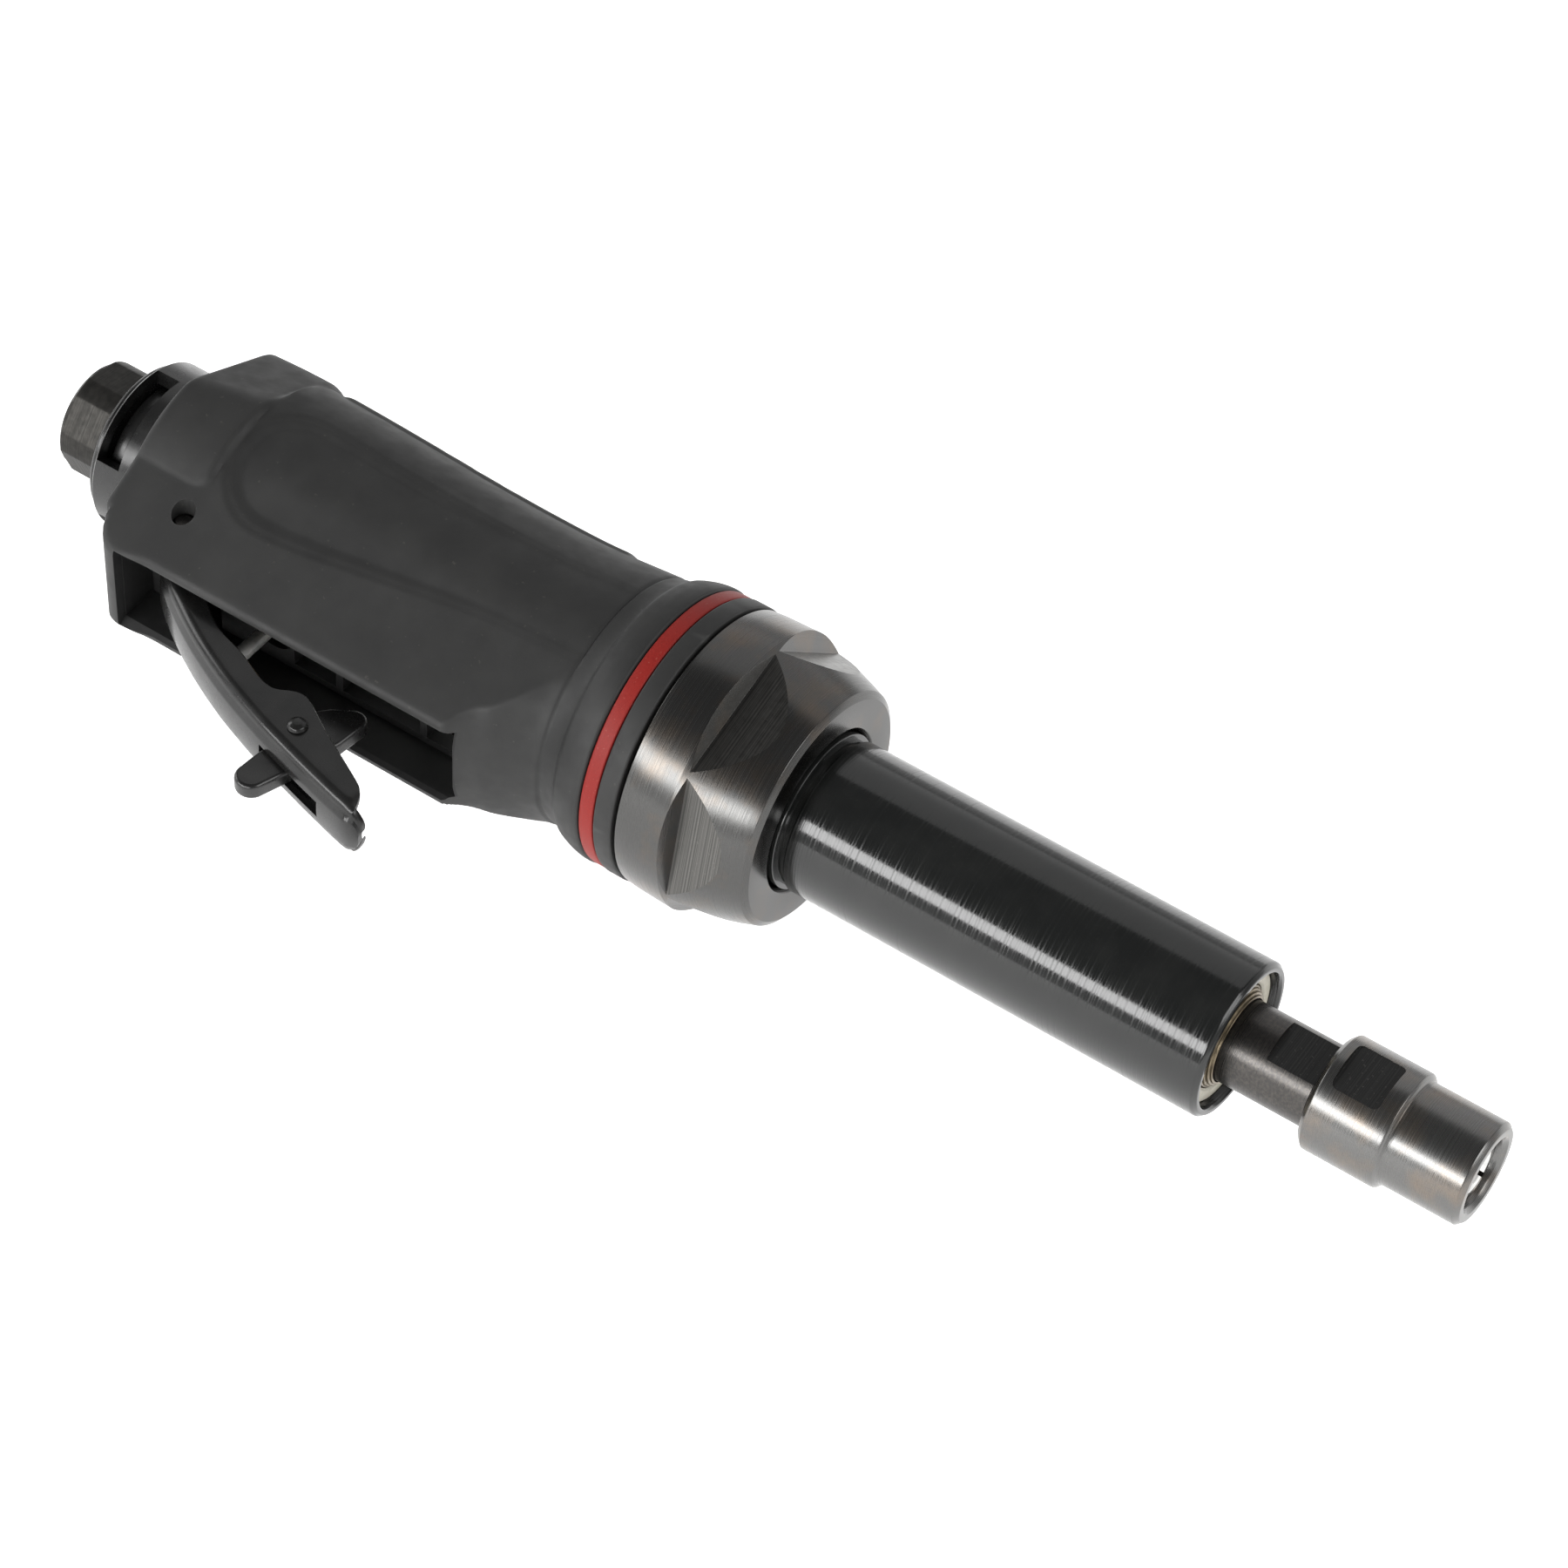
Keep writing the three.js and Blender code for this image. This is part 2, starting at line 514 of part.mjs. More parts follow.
function makeCylinder() {
  const { rear, front, radius, bore, offset } = CYLINDER;
  const chamber = rodAlongX((rear + front) / 2, offset, 0, front - rear + 2, bore, INNER_SIDES);
  const ports = PORTS.rears.map((x) => radialBox(x, x + PORTS.length, PORTS.width, 8, 20, Math.PI * 0.75));
  const pinHole = rodAlongX(front - 1.6, LOCATING_PIN.y, 0, 3.4, LOCATING_PIN.socketRadius);
  return cut(rod(rear, front, radius), chamber, pinHole, ...ports);
}

function vaneAngle(i) {
  return (2 * Math.PI * i) / ROTOR.vanes + FLAT_TILT;
}

function makeRotor() {
  const body = turned([
    [-61.6, 0], [-61.6, MOTOR_BEARING.bore], [-54.3, MOTOR_BEARING.bore], [-54.3, ROTOR.radius],
    [-13.7, ROTOR.radius], [-13.7, MOTOR_BEARING.bore], [-4.6, MOTOR_BEARING.bore], [-4.6, 0],
  ], INNER_SIDES);
  const slots = [];
  for (let i = 0; i < ROTOR.vanes; i += 1) {
    slots.push(radialBox(-60, -8, ROTOR.slotWidth, ROTOR.slotFloor, 15, vaneAngle(i)));
  }
  return union(cut(body, ...slots), hexRod(-5, 3.4, ROTOR.driveFlats));
}

addPart('rear_end_plate', makeEndPlate(-62, -55, -63, -55.7), steel);
addBearing('rear_motor_bearing', -61.8, MOTOR_BEARING);
addPart('motor_cylinder', makeCylinder(), steel);
addPart('rotor', makeRotor(), steel);
for (let i = 0; i < ROTOR.vanes; i += 1) {
  const foot = ROTOR.slotFloor + 0.3;
  const tip = ROTOR.radius - 0.1;
  addPart(`rotor_vane_${i + 1}`, radialBox(-54, -14, ROTOR.vaneWidth, foot, tip, vaneAngle(i)), resin);
}
const pinSocket = rodAlongX(-11.6, LOCATING_PIN.y, 0, 4, LOCATING_PIN.socketRadius);
const { x: pinX, y: pinY, length: pinLength, radius: locatingRadius } = LOCATING_PIN;
addPart('front_end_plate', makeEndPlate(-13, -5, -12.1, -4).subtract(pinSocket), steel);
addPart('locating_pin', rodAlongX(pinX, pinY, 0, pinLength, locatingRadius), steel);
addBearing('front_motor_bearing', -11.9, MOTOR_BEARING);
addPart('wave_washer', ring({ rear: -4.8, front: -4, bore: 10.5, radius: 15.6 }), steel);
addPart('drive_coupling', cut(rod(-3.8, 11.6, 6.4), hexRod(-5, 14, ROTOR.driveFlats + 0.6)), steel);

// ---------------------------------------------------------------- clamp nut and nose tube

function makeClampNut() {
  const body = turned([
    [0, 20.5], [0, 25.3], [0.8, 25.9], [8.8, NUT.radius], [10.6, 25.7], [14.2, 24.7], [18.1, 23.45],
    [20.8, 22.6], [23.3, 21.7], [NUT.length, 20.9], [NUT.length, 15.6], [22.8, NUT.bore], [14, NUT.bore],
    [14, 20.5],
  ]);
  // each spanner notch has a floor parallel to the axis and a steep rear wall
  const outline = new THREE.Shape([
    new THREE.Vector2(10.5, NUT.flatDistance), new THREE.Vector2(26, NUT.flatDistance),
    new THREE.Vector2(26, 30), new THREE.Vector2(7.8, 30),
  ]);
  const notches = [];
  for (let i = 0; i < NUT.flats; i += 1) {
    const angle = THREE.MathUtils.degToRad(-NUT.firstFlat + (360 / NUT.flats) * i);
    const settings = { depth: 40, bevelEnabled: false };
    const wedge = new THREE.ExtrudeGeometry(outline, settings).translate(0, 0, -20);
    // the outline's height becomes the radial direction, first along +Z
    notches.push(solid(wedge.rotateX(Math.PI / 2).rotateX(angle)));
  }
  return cut(body, ...notches);
}

function makeNoseTube() {
  return turned([
    [-3.4, 12.8], [-3.4, TUBE.pilotRadius], [6.4, TUBE.pilotRadius], [6.4, TUBE.flangeRadius],
    [13.7, TUBE.flangeRadius], [13.7, 14.4], [24.6, 14.4], [24.6, 13], [26.2, 13], [26.6, TUBE.radius],
    [TUBE.front - 0.9, TUBE.radius], [TUBE.front, 13.2], [TUBE.front, TUBE.bore], [91.6, TUBE.bore],
    [91.6, 10], [21, 10], [21, TUBE.bore], [13, TUBE.bore], [13, 12.8],
  ]);
}

addPart('clamp_nut', makeClampNut(), gunmetal);
addPart('nose_tube', makeNoseTube(), blackOxide);
addBearing('rear_nose_bearing', 14.6, TUBE_BEARING);
addBearing('front_nose_bearing', 92, TUBE_BEARING);
addPart('bearing_spacer', ring({ rear: 98.3, front: 101.9, bore: 10.6, radius: 12 }), steel);
addPart('bearing_retainer', ring({ rear: 102.2, front: 104, bore: 9.4, radius: 12 }), washerMetal);
addPart('spindle_dust_ring', ring({ rear: 99, front: 104.6, bore: 7.5, radius: 9.1 }), brass);

// ---------------------------------------------------------------- nose spindle and chuck

function makeSpindle() {
  const body = turned([
    [11.9, 0], [11.9, TUBE_BEARING.bore], [21.2, TUBE_BEARING.bore], [21.2, 7.2], [91.5, 7.2],
    [91.5, TUBE_BEARING.bore], [98.5, TUBE_BEARING.bore], [98.5, 7.35], [SPINDLE.flatRear - 8, 7.35],
    [121.3, SPINDLE.radius], [121.3, SPINDLE.threadRadius], [SPINDLE.front, SPINDLE.threadRadius],
    [SPINDLE.front, 5.9], [132, 5.1], [104, 5.1], [104, 0],
  ], INNER_SIDES);
  const blocks = [0, Math.PI].map((turn) =>
    radialBox(SPINDLE.flatRear, COLLET_NUT.rear - 0.1, 20, SPINDLE.flatDistance, 12, turn - FLAT_TILT)
  );
  return union(cut(body, ...blocks), hexRod(4.2, 12.2, ROTOR.driveFlats));
}

function makeCollet() {
  const body = turned([
    [110, COLLET.bore], [110, 4.8], [131.8, 4.8], [136.2, 5.6], [137, 6.1], [141.8, 6.1], [148.6, 4.8],
    [148.6, COLLET.bore],
  ], INNER_SIDES);
  const slits = [];
  for (let i = 0; i < COLLET.slits; i += 1) {
    const angle = (2 * Math.PI * i) / COLLET.slits + Math.PI / 5;
    slits.push(radialBox(118, 150, COLLET.slit, 2, 8, angle));
  }
  return cut(body, ...slits);
}

function makeColletNut() {
  const { rear, step, front, radius, frontRadius } = COLLET_NUT;
  const { pocketRear, pocketFront, pocketDistance, pocketWidth } = COLLET_NUT;
  const body = turned([
    [rear, 6.9], [rear, radius - 0.7], [rear + 0.7, radius], [step - 0.4, radius], [step, radius - 0.5],
    [step + 0.6, frontRadius], [front - 0.9, frontRadius], [front, frontRadius - 0.8], [front, 6],
    [front - 1.6, 5.5], [142.6, 6.9],
  ]);
  const pockets = [0, Math.PI].map((turn) =>
    radialBox(pocketRear, pocketFront, pocketWidth, pocketDistance, 14, turn - FLAT_TILT)
  );
  return cut(body, ...pockets);
}

addPart('nose_spindle', makeSpindle(), blackOxide);
addPart('collet', makeCollet(), bearingSteel);
addPart('collet_nut', makeColletNut(), gunmetal);

// ---------------------------------------------------------------- origin at the bottom centre

const bounds = new THREE.Box3().setFromObject(tool);
const middle = bounds.getCenter(new THREE.Vector3());
tool.position.set(-middle.x, -middle.y, -bounds.min.z);

export default tool;
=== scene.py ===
"""Looks of the extended air die grinder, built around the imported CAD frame.

Lengths in the tables below are millimetres in tool stations: x runs forward from the rear face of the
clamp nut, y and z are measured from the spindle axis, and the lever is on the -y side. Angles round the
axis are degrees from +z, positive towards +y.
"""

import json
import math

import bmesh
import bpy
import numpy as np
from mathutils import Matrix, Vector


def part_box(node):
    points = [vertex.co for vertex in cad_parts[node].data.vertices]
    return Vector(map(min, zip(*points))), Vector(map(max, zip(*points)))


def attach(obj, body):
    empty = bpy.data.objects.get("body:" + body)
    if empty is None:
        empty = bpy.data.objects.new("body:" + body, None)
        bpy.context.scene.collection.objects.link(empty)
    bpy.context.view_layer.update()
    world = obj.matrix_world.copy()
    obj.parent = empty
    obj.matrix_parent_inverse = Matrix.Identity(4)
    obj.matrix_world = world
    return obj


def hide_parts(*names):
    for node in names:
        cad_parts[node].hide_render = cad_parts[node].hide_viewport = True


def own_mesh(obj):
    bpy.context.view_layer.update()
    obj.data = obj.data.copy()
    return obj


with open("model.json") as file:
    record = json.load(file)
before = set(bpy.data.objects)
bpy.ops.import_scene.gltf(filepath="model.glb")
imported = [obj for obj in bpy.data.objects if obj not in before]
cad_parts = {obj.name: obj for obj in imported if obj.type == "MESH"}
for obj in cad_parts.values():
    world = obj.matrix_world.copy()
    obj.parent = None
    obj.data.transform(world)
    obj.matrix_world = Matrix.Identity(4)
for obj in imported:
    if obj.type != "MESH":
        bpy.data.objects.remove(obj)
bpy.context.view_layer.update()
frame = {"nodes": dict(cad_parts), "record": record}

# ---------------------------------------------------------------- tool stations to the row frame

MM = 0.001
tube_low, tube_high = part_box("nose_tube")
AXIS_Y = (tube_low.y + tube_high.y) / 2
AXIS_Z = (tube_low.z + tube_high.z) / 2
ZERO_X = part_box("clamp_nut")[0].x


def at(x, y=0.0, z=0.0):
    """A point given in tool stations, in the row frame in metres."""
    return Vector((ZERO_X + x * MM, AXIS_Y + y * MM, AXIS_Z + z * MM))


def to_row(points):
    """An array of points in tool stations, in the row frame in metres."""
    return np.asarray(points, float) * MM + np.array([ZERO_X, AXIS_Y, AXIS_Z])


# ---------------------------------------------------------------- small maths

def smoothstep(low, high, value):
    t = np.clip((value - low) / (high - low), 0, 1)
    return t * t * (3 - 2 * t)


def ramp(low, high, value):
    return np.clip((value - low) / (high - low), 0, 1)


def smooth_min(a, b, blend):
    h = np.clip(0.5 + 0.5 * (b - a) / blend, 0, 1)
    return b * (1 - h) + a * h - blend * h * (1 - h)


def eased(x, table):
    """A smooth curve through (station, value) pairs."""
    stations = np.array([p[0] for p in table], float)
    values = np.array([p[1] for p in table], float)
    slopes = np.gradient(values, stations)
    x = np.clip(x, stations[0], stations[-1])
    i = np.clip(np.searchsorted(stations, x, side="right") - 1, 0, len(stations) - 2)
    width = stations[i + 1] - stations[i]
    t = (x - stations[i]) / width
    return (
        (2 * t**3 - 3 * t**2 + 1) * values[i]
        + (t**3 - 2 * t**2 + t) * width * slopes[i]
        + (-2 * t**3 + 3 * t**2) * values[i + 1]
        + (t**3 - t**2) * width * slopes[i + 1]
    )


def quarter_round(radius, inwards):
    """How far a rounded rim falls away, at a distance inwards from its end."""
    left = np.clip(radius - inwards, 0, radius)
    return radius - np.sqrt(np.clip(radius**2 - left**2, 0, None))


def from_angle(phi, centre):
    """Signed degrees from `centre` to `phi`, in -180 to 180."""
    return (phi - centre + 180) % 360 - 180


def flat(phi, centre, distance):
    """Radius of a flat face at `distance` from the axis whose normal points at `centre`."""
    away = np.radians(np.clip(from_angle(phi, centre), -80, 80))
    return distance / np.cos(away)


# ---------------------------------------------------------------- mesh helpers

SHARP = math.radians(34)


def finish_mesh(mesh, sharp=SHARP):
    """Faces out, smooth shading with creases only where the surface turns sharply."""
    work = bmesh.new()
    work.from_mesh(mesh)
    bmesh.ops.remove_doubles(work, verts=work.verts, dist=1e-7)
    bmesh.ops.dissolve_degenerate(work, edges=work.edges, dist=1e-7)
    bmesh.ops.recalc_face_normals(work, faces=work.faces)
    work.to_mesh(mesh)
    work.free()
    mesh.shade_smooth()
    mesh.set_sharp_from_angle(angle=sharp)


def new_object(name, points, faces):
    mesh = bpy.data.meshes.new(name)
    mesh.from_pydata([tuple(p) for p in points], [], faces)
    obj = bpy.data.objects.new(name, mesh)
    bpy.context.scene.collection.objects.link(obj)
    return obj


def apply_modifiers(obj):
    """Replaces the object's mesh by the one its modifiers make."""
    evaluated = obj.evaluated_get(bpy.context.evaluated_depsgraph_get())
    mesh = bpy.data.meshes.new_from_object(evaluated)
    obj.modifiers.clear()
    obj.data = mesh


def cut(obj, *tools):
    """Takes each tool solid out of obj and throws the tools away."""
    for tool in tools:
        finish_mesh(tool.data)
        modifier = obj.modifiers.new("cut", "BOOLEAN")
        modifier.operation = "DIFFERENCE"
        modifier.solver = "MANIFOLD"
        modifier.object = tool
    apply_modifiers(obj)
    for tool in tools:
        bpy.data.objects.remove(tool)
    finish_mesh(obj.data)


def soften(obj, width, angle):
    """Rounds every edge that turns more than `angle` degrees."""
    modifier = obj.modifiers.new("soften", "BEVEL")
    modifier.width = width * MM
    modifier.segments = 2
    modifier.limit_method = "ANGLE"
    modifier.angle_limit = math.radians(angle)
    modifier.use_clamp_overlap = True
    modifier.harden_normals = True
    apply_modifiers(obj)


def level_normals(obj):
    """Keeps broad flat faces flat beside their rounded rims."""
    modifier = obj.modifiers.new("level", "WEIGHTED_NORMAL")
    modifier.keep_sharp = True
    apply_modifiers(obj)


def turn_about_spindle(obj, degrees):
    """Turns the mesh about the spindle axis, positive from +y towards +z."""
    spin = Matrix.Rotation(math.radians(degrees), 4, "X")
    obj.data.transform(Matrix.Translation(at(0)) @ spin @ Matrix.Translation(-at(0)))


def grid_faces(rows, columns, wrap_rows=False, wrap_columns=False):
    """Quads of a rows x columns grid of points."""
    faces = []
    for i in range(rows if wrap_rows else rows - 1):
        for j in range(columns if wrap_columns else columns - 1):
            a, b = i, (i + 1) % rows
            c, d = j, (j + 1) % columns
            faces.append((a * columns + c, b * columns + c, b * columns + d, a * columns + d))
    return faces


def rounded(profile, closed=True, steps=3):
    """Rounds a profile's corners. A point is (x, r) or (x, r, fillet radius)."""
    result = []
    count = len(profile)
    for i, point in enumerate(profile):
        fillet = point[2] if len(point) > 2 else 0
        here = np.array(point[:2], float)
        if not fillet or (not closed and i in (0, count - 1)):
            result.append(tuple(here))
            continue
        before = np.array(profile[i - 1][:2], float) - here
        after = np.array(profile[(i + 1) % count][:2], float) - here
        u, v = before / np.linalg.norm(before), after / np.linalg.norm(after)
        half = math.acos(max(-1, min(1, float(u @ v)))) / 2
        if half > math.radians(88):
            result.append(tuple(here))
            continue
        reach = min(fillet / math.tan(half), 0.48 * np.linalg.norm(before), 0.48 * np.linalg.norm(after))
        start, end = here + u * reach, here + v * reach
        for k in range(steps + 1):
            t = k / steps
            result.append(tuple((1 - t) ** 2 * start + 2 * t * (1 - t) * here + t**2 * end))
    return result


def spun(name, profile, sides=128, relief=None):
    """Body of revolution about the spindle axis. The closed profile holds (x, r) points, and
    relief(x, r, phi) may change the radius round the axis."""
    profile = np.array(profile, float)
    phi = np.arange(sides) * 360 / sides
    x = np.repeat(profile[:, :1], sides, axis=1)
    r = np.repeat(profile[:, 1:2], sides, axis=1)
    around = np.broadcast_to(phi, x.shape)
    if relief is not None:
        r = relief(x, r, around)
    turn = np.radians(around)
    points = np.stack([x, r * np.sin(turn), r * np.cos(turn)], axis=-1).reshape(-1, 3)
    obj = new_object(name, to_row(points), grid_faces(len(profile), sides, True, True))
    finish_mesh(obj.data)
    return obj


def spun_across(name, profile, x, y, sides=48):
    """Body of revolution about the line through (x, y) along z, from (z, r) points, axis to axis."""
    turn = np.arange(sides) * 2 * math.pi / sides
    rings = [[(x + r * math.cos(a), y + r * math.sin(a), z) for a in turn] for z, r in profile]
    obj = new_object(name, to_row(rings).reshape(-1, 3), grid_faces(len(profile), sides, False, True))
    finish_mesh(obj.data)
    return obj


def spun_upright(name, profile, x, sides=48):
    """Body of revolution about the line at station x along y, from (y, r) points, axis to axis."""
    turn = np.arange(sides) * 2 * math.pi / sides
    rings = [[(x + r * math.cos(a), y, r * math.sin(a)) for a in turn] for y, r in profile]
    obj = new_object(name, to_row(rings).reshape(-1, 3), grid_faces(len(profile), sides, False, True))
    finish_mesh(obj.data)
    return obj


def block(name, x0, x1, y0, y1, z0, z1, flare=0.0):
    """Six-sided solid for cutting. Its low-y face is `flare` wider on both z sides."""
    corners = []
    for y, grow in ((y0, flare), (y1, 0.0)):
        corners += [
            (x0, y, z0 - grow),
            (x1, y, z0 - grow),
            (x1, y, z1 + grow),
            (x0, y, z1 + grow),
        ]
    faces = [(0, 1, 2, 3), (4, 7, 6, 5), (0, 4, 5, 1), (1, 5, 6, 2), (2, 6, 7, 3), (3, 7, 4, 0)]
    return new_object(name, to_row(corners), faces)


def plate(name, outline, z0, z1, bevel):
    """An outline in the x-y plane, as thick as z0 to z1, with rounded rims."""
    work = bmesh.new()
    face = work.faces.new([work.verts.new(p) for p in to_row([(x, y, z0) for x, y in outline])])
    extruded = bmesh.ops.extrude_face_region(work, geom=[face])
    moved = [v for v in extruded["geom"] if isinstance(v, bmesh.types.BMVert)]
    bmesh.ops.translate(work, verts=moved, vec=(0, 0, (z1 - z0) * MM))
    bmesh.ops.recalc_face_normals(work, faces=work.faces)
    if bevel:
        rims = [e for e in work.edges if abs(e.verts[0].co.z - e.verts[1].co.z) < 1e-7]
        bmesh.ops.bevel(
            work, geom=rims, offset=bevel * MM, segments=4, profile=0.5, affect="EDGES", clamp_overlap=True
        )
    mesh = bpy.data.meshes.new(name)
    work.to_mesh(mesh)
    work.free()
    obj = bpy.data.objects.new(name, mesh)
    bpy.context.scene.collection.objects.link(obj)
    finish_mesh(obj.data)
    return obj


def radial_prism(name, outline, bottom, top, centre):
    """An outline of (x, across) points, raised from `bottom` to `top` at the angle `centre`."""
    count = len(outline)
    points = [(x, across, height) for height in (bottom, top) for x, across in outline]
    faces = [tuple(range(count)), tuple(range(2 * count - 1, count - 1, -1))]
    faces += [(i, i + count, (i + 1) % count + count, (i + 1) % count) for i in range(count)]
    tool = new_object(name, to_row(points), faces)
    turn_about_spindle(tool, -centre)
    return tool


def mark_faces(obj, look, chosen):
    """Gives `look` to the faces that chosen(centre, normal) picks, in tool stations."""
    obj.data.materials.append(look.material)
    slot = len(obj.data.materials) - 1
    origin = at(0)
    for face in obj.data.polygons:
        if chosen((face.center - origin) / MM, face.normal):
            face.material_index = slot


def on_plane(distance, centres, tolerance=0.03):
    """A test for mark_faces: flat at `distance` from the axis, at one of the angles `centres`."""
    normals = [Vector((0, math.sin(math.radians(a)), math.cos(math.radians(a)))) for a in centres]

    def chosen(centre, normal):
        return any(normal.dot(n) > 0.995 and abs(centre.dot(n) - distance) < tolerance for n in normals)

    return chosen


def arc(cx, cy, radius, start, end, steps=10):
    """Points of an arc in the x-y plane, angles in degrees."""
    angles = np.radians(np.linspace(start, end, steps + 1))
    return [(cx + radius * math.cos(a), cy + radius * math.sin(a)) for a in angles]


# ---------------------------------------------------------------- material helpers

RANGE_SOCKETS = ("From Min", "From Max", "To Min", "To Max")


class Look:
    """A procedural material: a Principled shader and the nodes that feed it."""

    def __init__(self, name, colour, roughness, metallic=0.0, **sockets):
        self.material = bpy.data.materials.new(name)
        self.material.use_nodes = True
        self.tree = self.material.node_tree
        self.shader = self.tree.nodes["Principled BSDF"]
        self.shader.inputs["Base Color"].default_value = (*colour, 1)
        self.shader.inputs["Roughness"].default_value = roughness
        self.shader.inputs["Metallic"].default_value = metallic
        for socket, value in sockets.items():
            self.shader.inputs[socket.replace("_", " ")].default_value = value
        self.place = self.node("TexCoord").outputs["Object"]

    def node(self, kind, **settings):
        made = self.tree.nodes.new("ShaderNode" + kind)
        for key, value in settings.items():
            setattr(made, key, value)
        return made

    def feed(self, socket, value):
        """Links an output to a socket, or sets a plain value on it."""
        if hasattr(value, "links"):
            self.tree.links.new(value, socket)
        else:
            socket.default_value = value

    def math(self, operation, a, b=0.0):
        made = self.node("Math", operation=operation)
        self.feed(made.inputs[0], a)
        self.feed(made.inputs[1], b)
        return made.outputs[0]

    def noise(self, size_mm, detail=2.0, roughness=0.5, place=None, stretch=None):
        """Noise whose blobs are about size_mm across."""
        source = place or self.place
        if stretch:
            mapping = self.node("Mapping")
            self.feed(mapping.inputs["Vector"], source)
            mapping.inputs["Scale"].default_value = stretch
            source = mapping.outputs[0]
        made = self.node("TexNoise")
        self.feed(made.inputs["Vector"], source)
        made.inputs["Scale"].default_value = 1 / (size_mm * MM)
        made.inputs["Detail"].default_value = detail
        made.inputs["Roughness"].default_value = roughness
        return made.outputs["Fac"]

    def axial(self):
        """Distance along the spindle axis."""
        split = self.node("SeparateXYZ")
        self.feed(split.inputs[0], self.place)
        return split.outputs["X"]

    def rings(self, size_mm, detail=3.0):
        """Noise that changes only along the spindle, like a lathe tool's marks."""
        made = self.node("TexNoise", noise_dimensions="1D")
        self.feed(made.inputs["W"], self.axial())
        made.inputs["Scale"].default_value = 1 / (size_mm * MM)
        made.inputs["Detail"].default_value = detail
        return made.outputs["Fac"]

    def between(self, value, low, high, out_low, out_high):
        """Maps low..high to out_low..out_high, clamped."""
        made = self.node("MapRange")
        self.feed(made.inputs["Value"], value)
        for socket, number in zip(RANGE_SOCKETS, (low, high, out_low, out_high)):
            self.feed(made.inputs[socket], number)
        return made.outputs[0]

    def mix(self, factor, first, second):
        """A colour between first and second."""
        made = self.node("Mix", data_type="RGBA")
        self.feed(made.inputs["Factor"], factor)
        for socket, colour in zip((made.inputs[6], made.inputs[7]), (first, second)):
            self.feed(socket, colour if hasattr(colour, "links") else (*colour, 1))
        return made.outputs[2]

    def blend(self, value, low, high, first, second):
        """A colour that goes from first to second as the value goes from low to high."""
        return self.mix(self.between(value, low, high, 0, 1), first, second)

    def colour(self, value):
        self.feed(self.shader.inputs["Base Color"], value)

    def roughness(self, value):
        self.feed(self.shader.inputs["Roughness"], value)

    def bump(self, height, depth_mm, strength=1.0):
        """Adds surface relief. Later calls lie on top of earlier ones."""
        made = self.node("Bump")
        made.inputs["Strength"].default_value = strength
        made.inputs["Distance"].default_value = depth_mm * MM
        self.feed(made.inputs["Height"], height)
        normal = self.shader.inputs["Normal"]
        if normal.links:
            self.feed(made.inputs["Normal"], normal.links[0].from_socket)
        self.feed(normal, made.outputs[0])

    def edges(self, low=0.53, high=0.6):
        """1 on worn outer edges, 0 elsewhere."""
        return self.between(self.node("NewGeometry").outputs["Pointiness"], low, high, 0, 1)


def composite_look(name="fine_composite"):
    look = Look(name, (0.018, 0.018, 0.0178), 0.58, Specular_IOR_Level=0.36)
    mottle = look.noise(9, 3)
    tone = look.blend(mottle, 0.35, 0.65, (0.0165, 0.0165, 0.0163), (0.0215, 0.0214, 0.0209))
    dust = look.between(look.noise(0.9, 1), 0.74, 0.8, 0, 0.25)
    tone = look.mix(dust, tone, (0.08, 0.075, 0.065))
    wear = look.math("MULTIPLY", look.edges(0.52, 0.62), 0.55)
    look.colour(look.mix(wear, tone, (0.055, 0.055, 0.0535)))
    look.roughness(look.between(look.noise(3.5, 2), 0.3, 0.7, 0.52, 0.62))
    look.bump(look.noise(0.28, 2, 0.6), 0.02, 0.55)
    look.bump(look.noise(2.2, 1), 0.02, 0.3)
    return look


def gunmetal_look(name, shade, smooth, rough):
    """Turned and blued steel with brown stains."""
    look = Look(name, (0.13, 0.125, 0.12), rough, 1.0)
    grooves = look.rings(0.22, 3)
    stain = look.between(look.noise(8, 3, 0.6), 0.48, 0.7, 0, 1)
    freckle = look.between(look.noise(0.6, 3), 0.45, 0.75, 0, 0.25)
    plain, stained, dark = (
        [shade * c for c in tint] for tint in ((0.98, 0.97, 0.95), (1.22, 1.05, 0.9), (0.8, 0.8, 0.785))
    )
    look.colour(look.mix(freckle, look.mix(stain, plain, stained), dark))
    look.roughness(look.between(grooves, 0.3, 0.7, smooth, rough))
    look.bump(grooves, 0.006, 0.14)
    return look


def milled_look(name, dark, light, roughness):
    """Matte cut metal with fine marks across the spindle."""
    look = Look(name, dark, roughness, 1.0)
    marks = look.rings(0.3, 2)
    tone = look.blend(marks, 0.42, 0.62, dark, light)
    look.colour(look.mix(look.between(look.noise(0.5, 2), 0.66, 0.72, 0, 0.3), tone, (0.2, 0.19, 0.18)))
    look.roughness(look.between(look.noise(1.2, 2), 0.3, 0.7, roughness - 0.05, roughness + 0.05))
    look.bump(marks, 0.012, 0.5)
    return look


def black_oxide_look():
    look = Look("turned_black_oxide", (0.007, 0.0075, 0.0073), 0.15, 0.0, Specular_IOR_Level=0.62)
    front = look.between(look.axial(), at(60).x, at(105).x, 0.35, 1)
    grooves = look.math("MULTIPLY", look.rings(0.3, 3), front)
    look.roughness(look.between(look.rings(0.4, 4), 0.4, 0.7, 0.07, 0.26))
    look.colour(look.blend(look.noise(6, 2), 0.4, 0.7, (0.006, 0.0066, 0.0064), (0.01, 0.0105, 0.01)))
    look.bump(grooves, 0.03, 0.9)
    return look


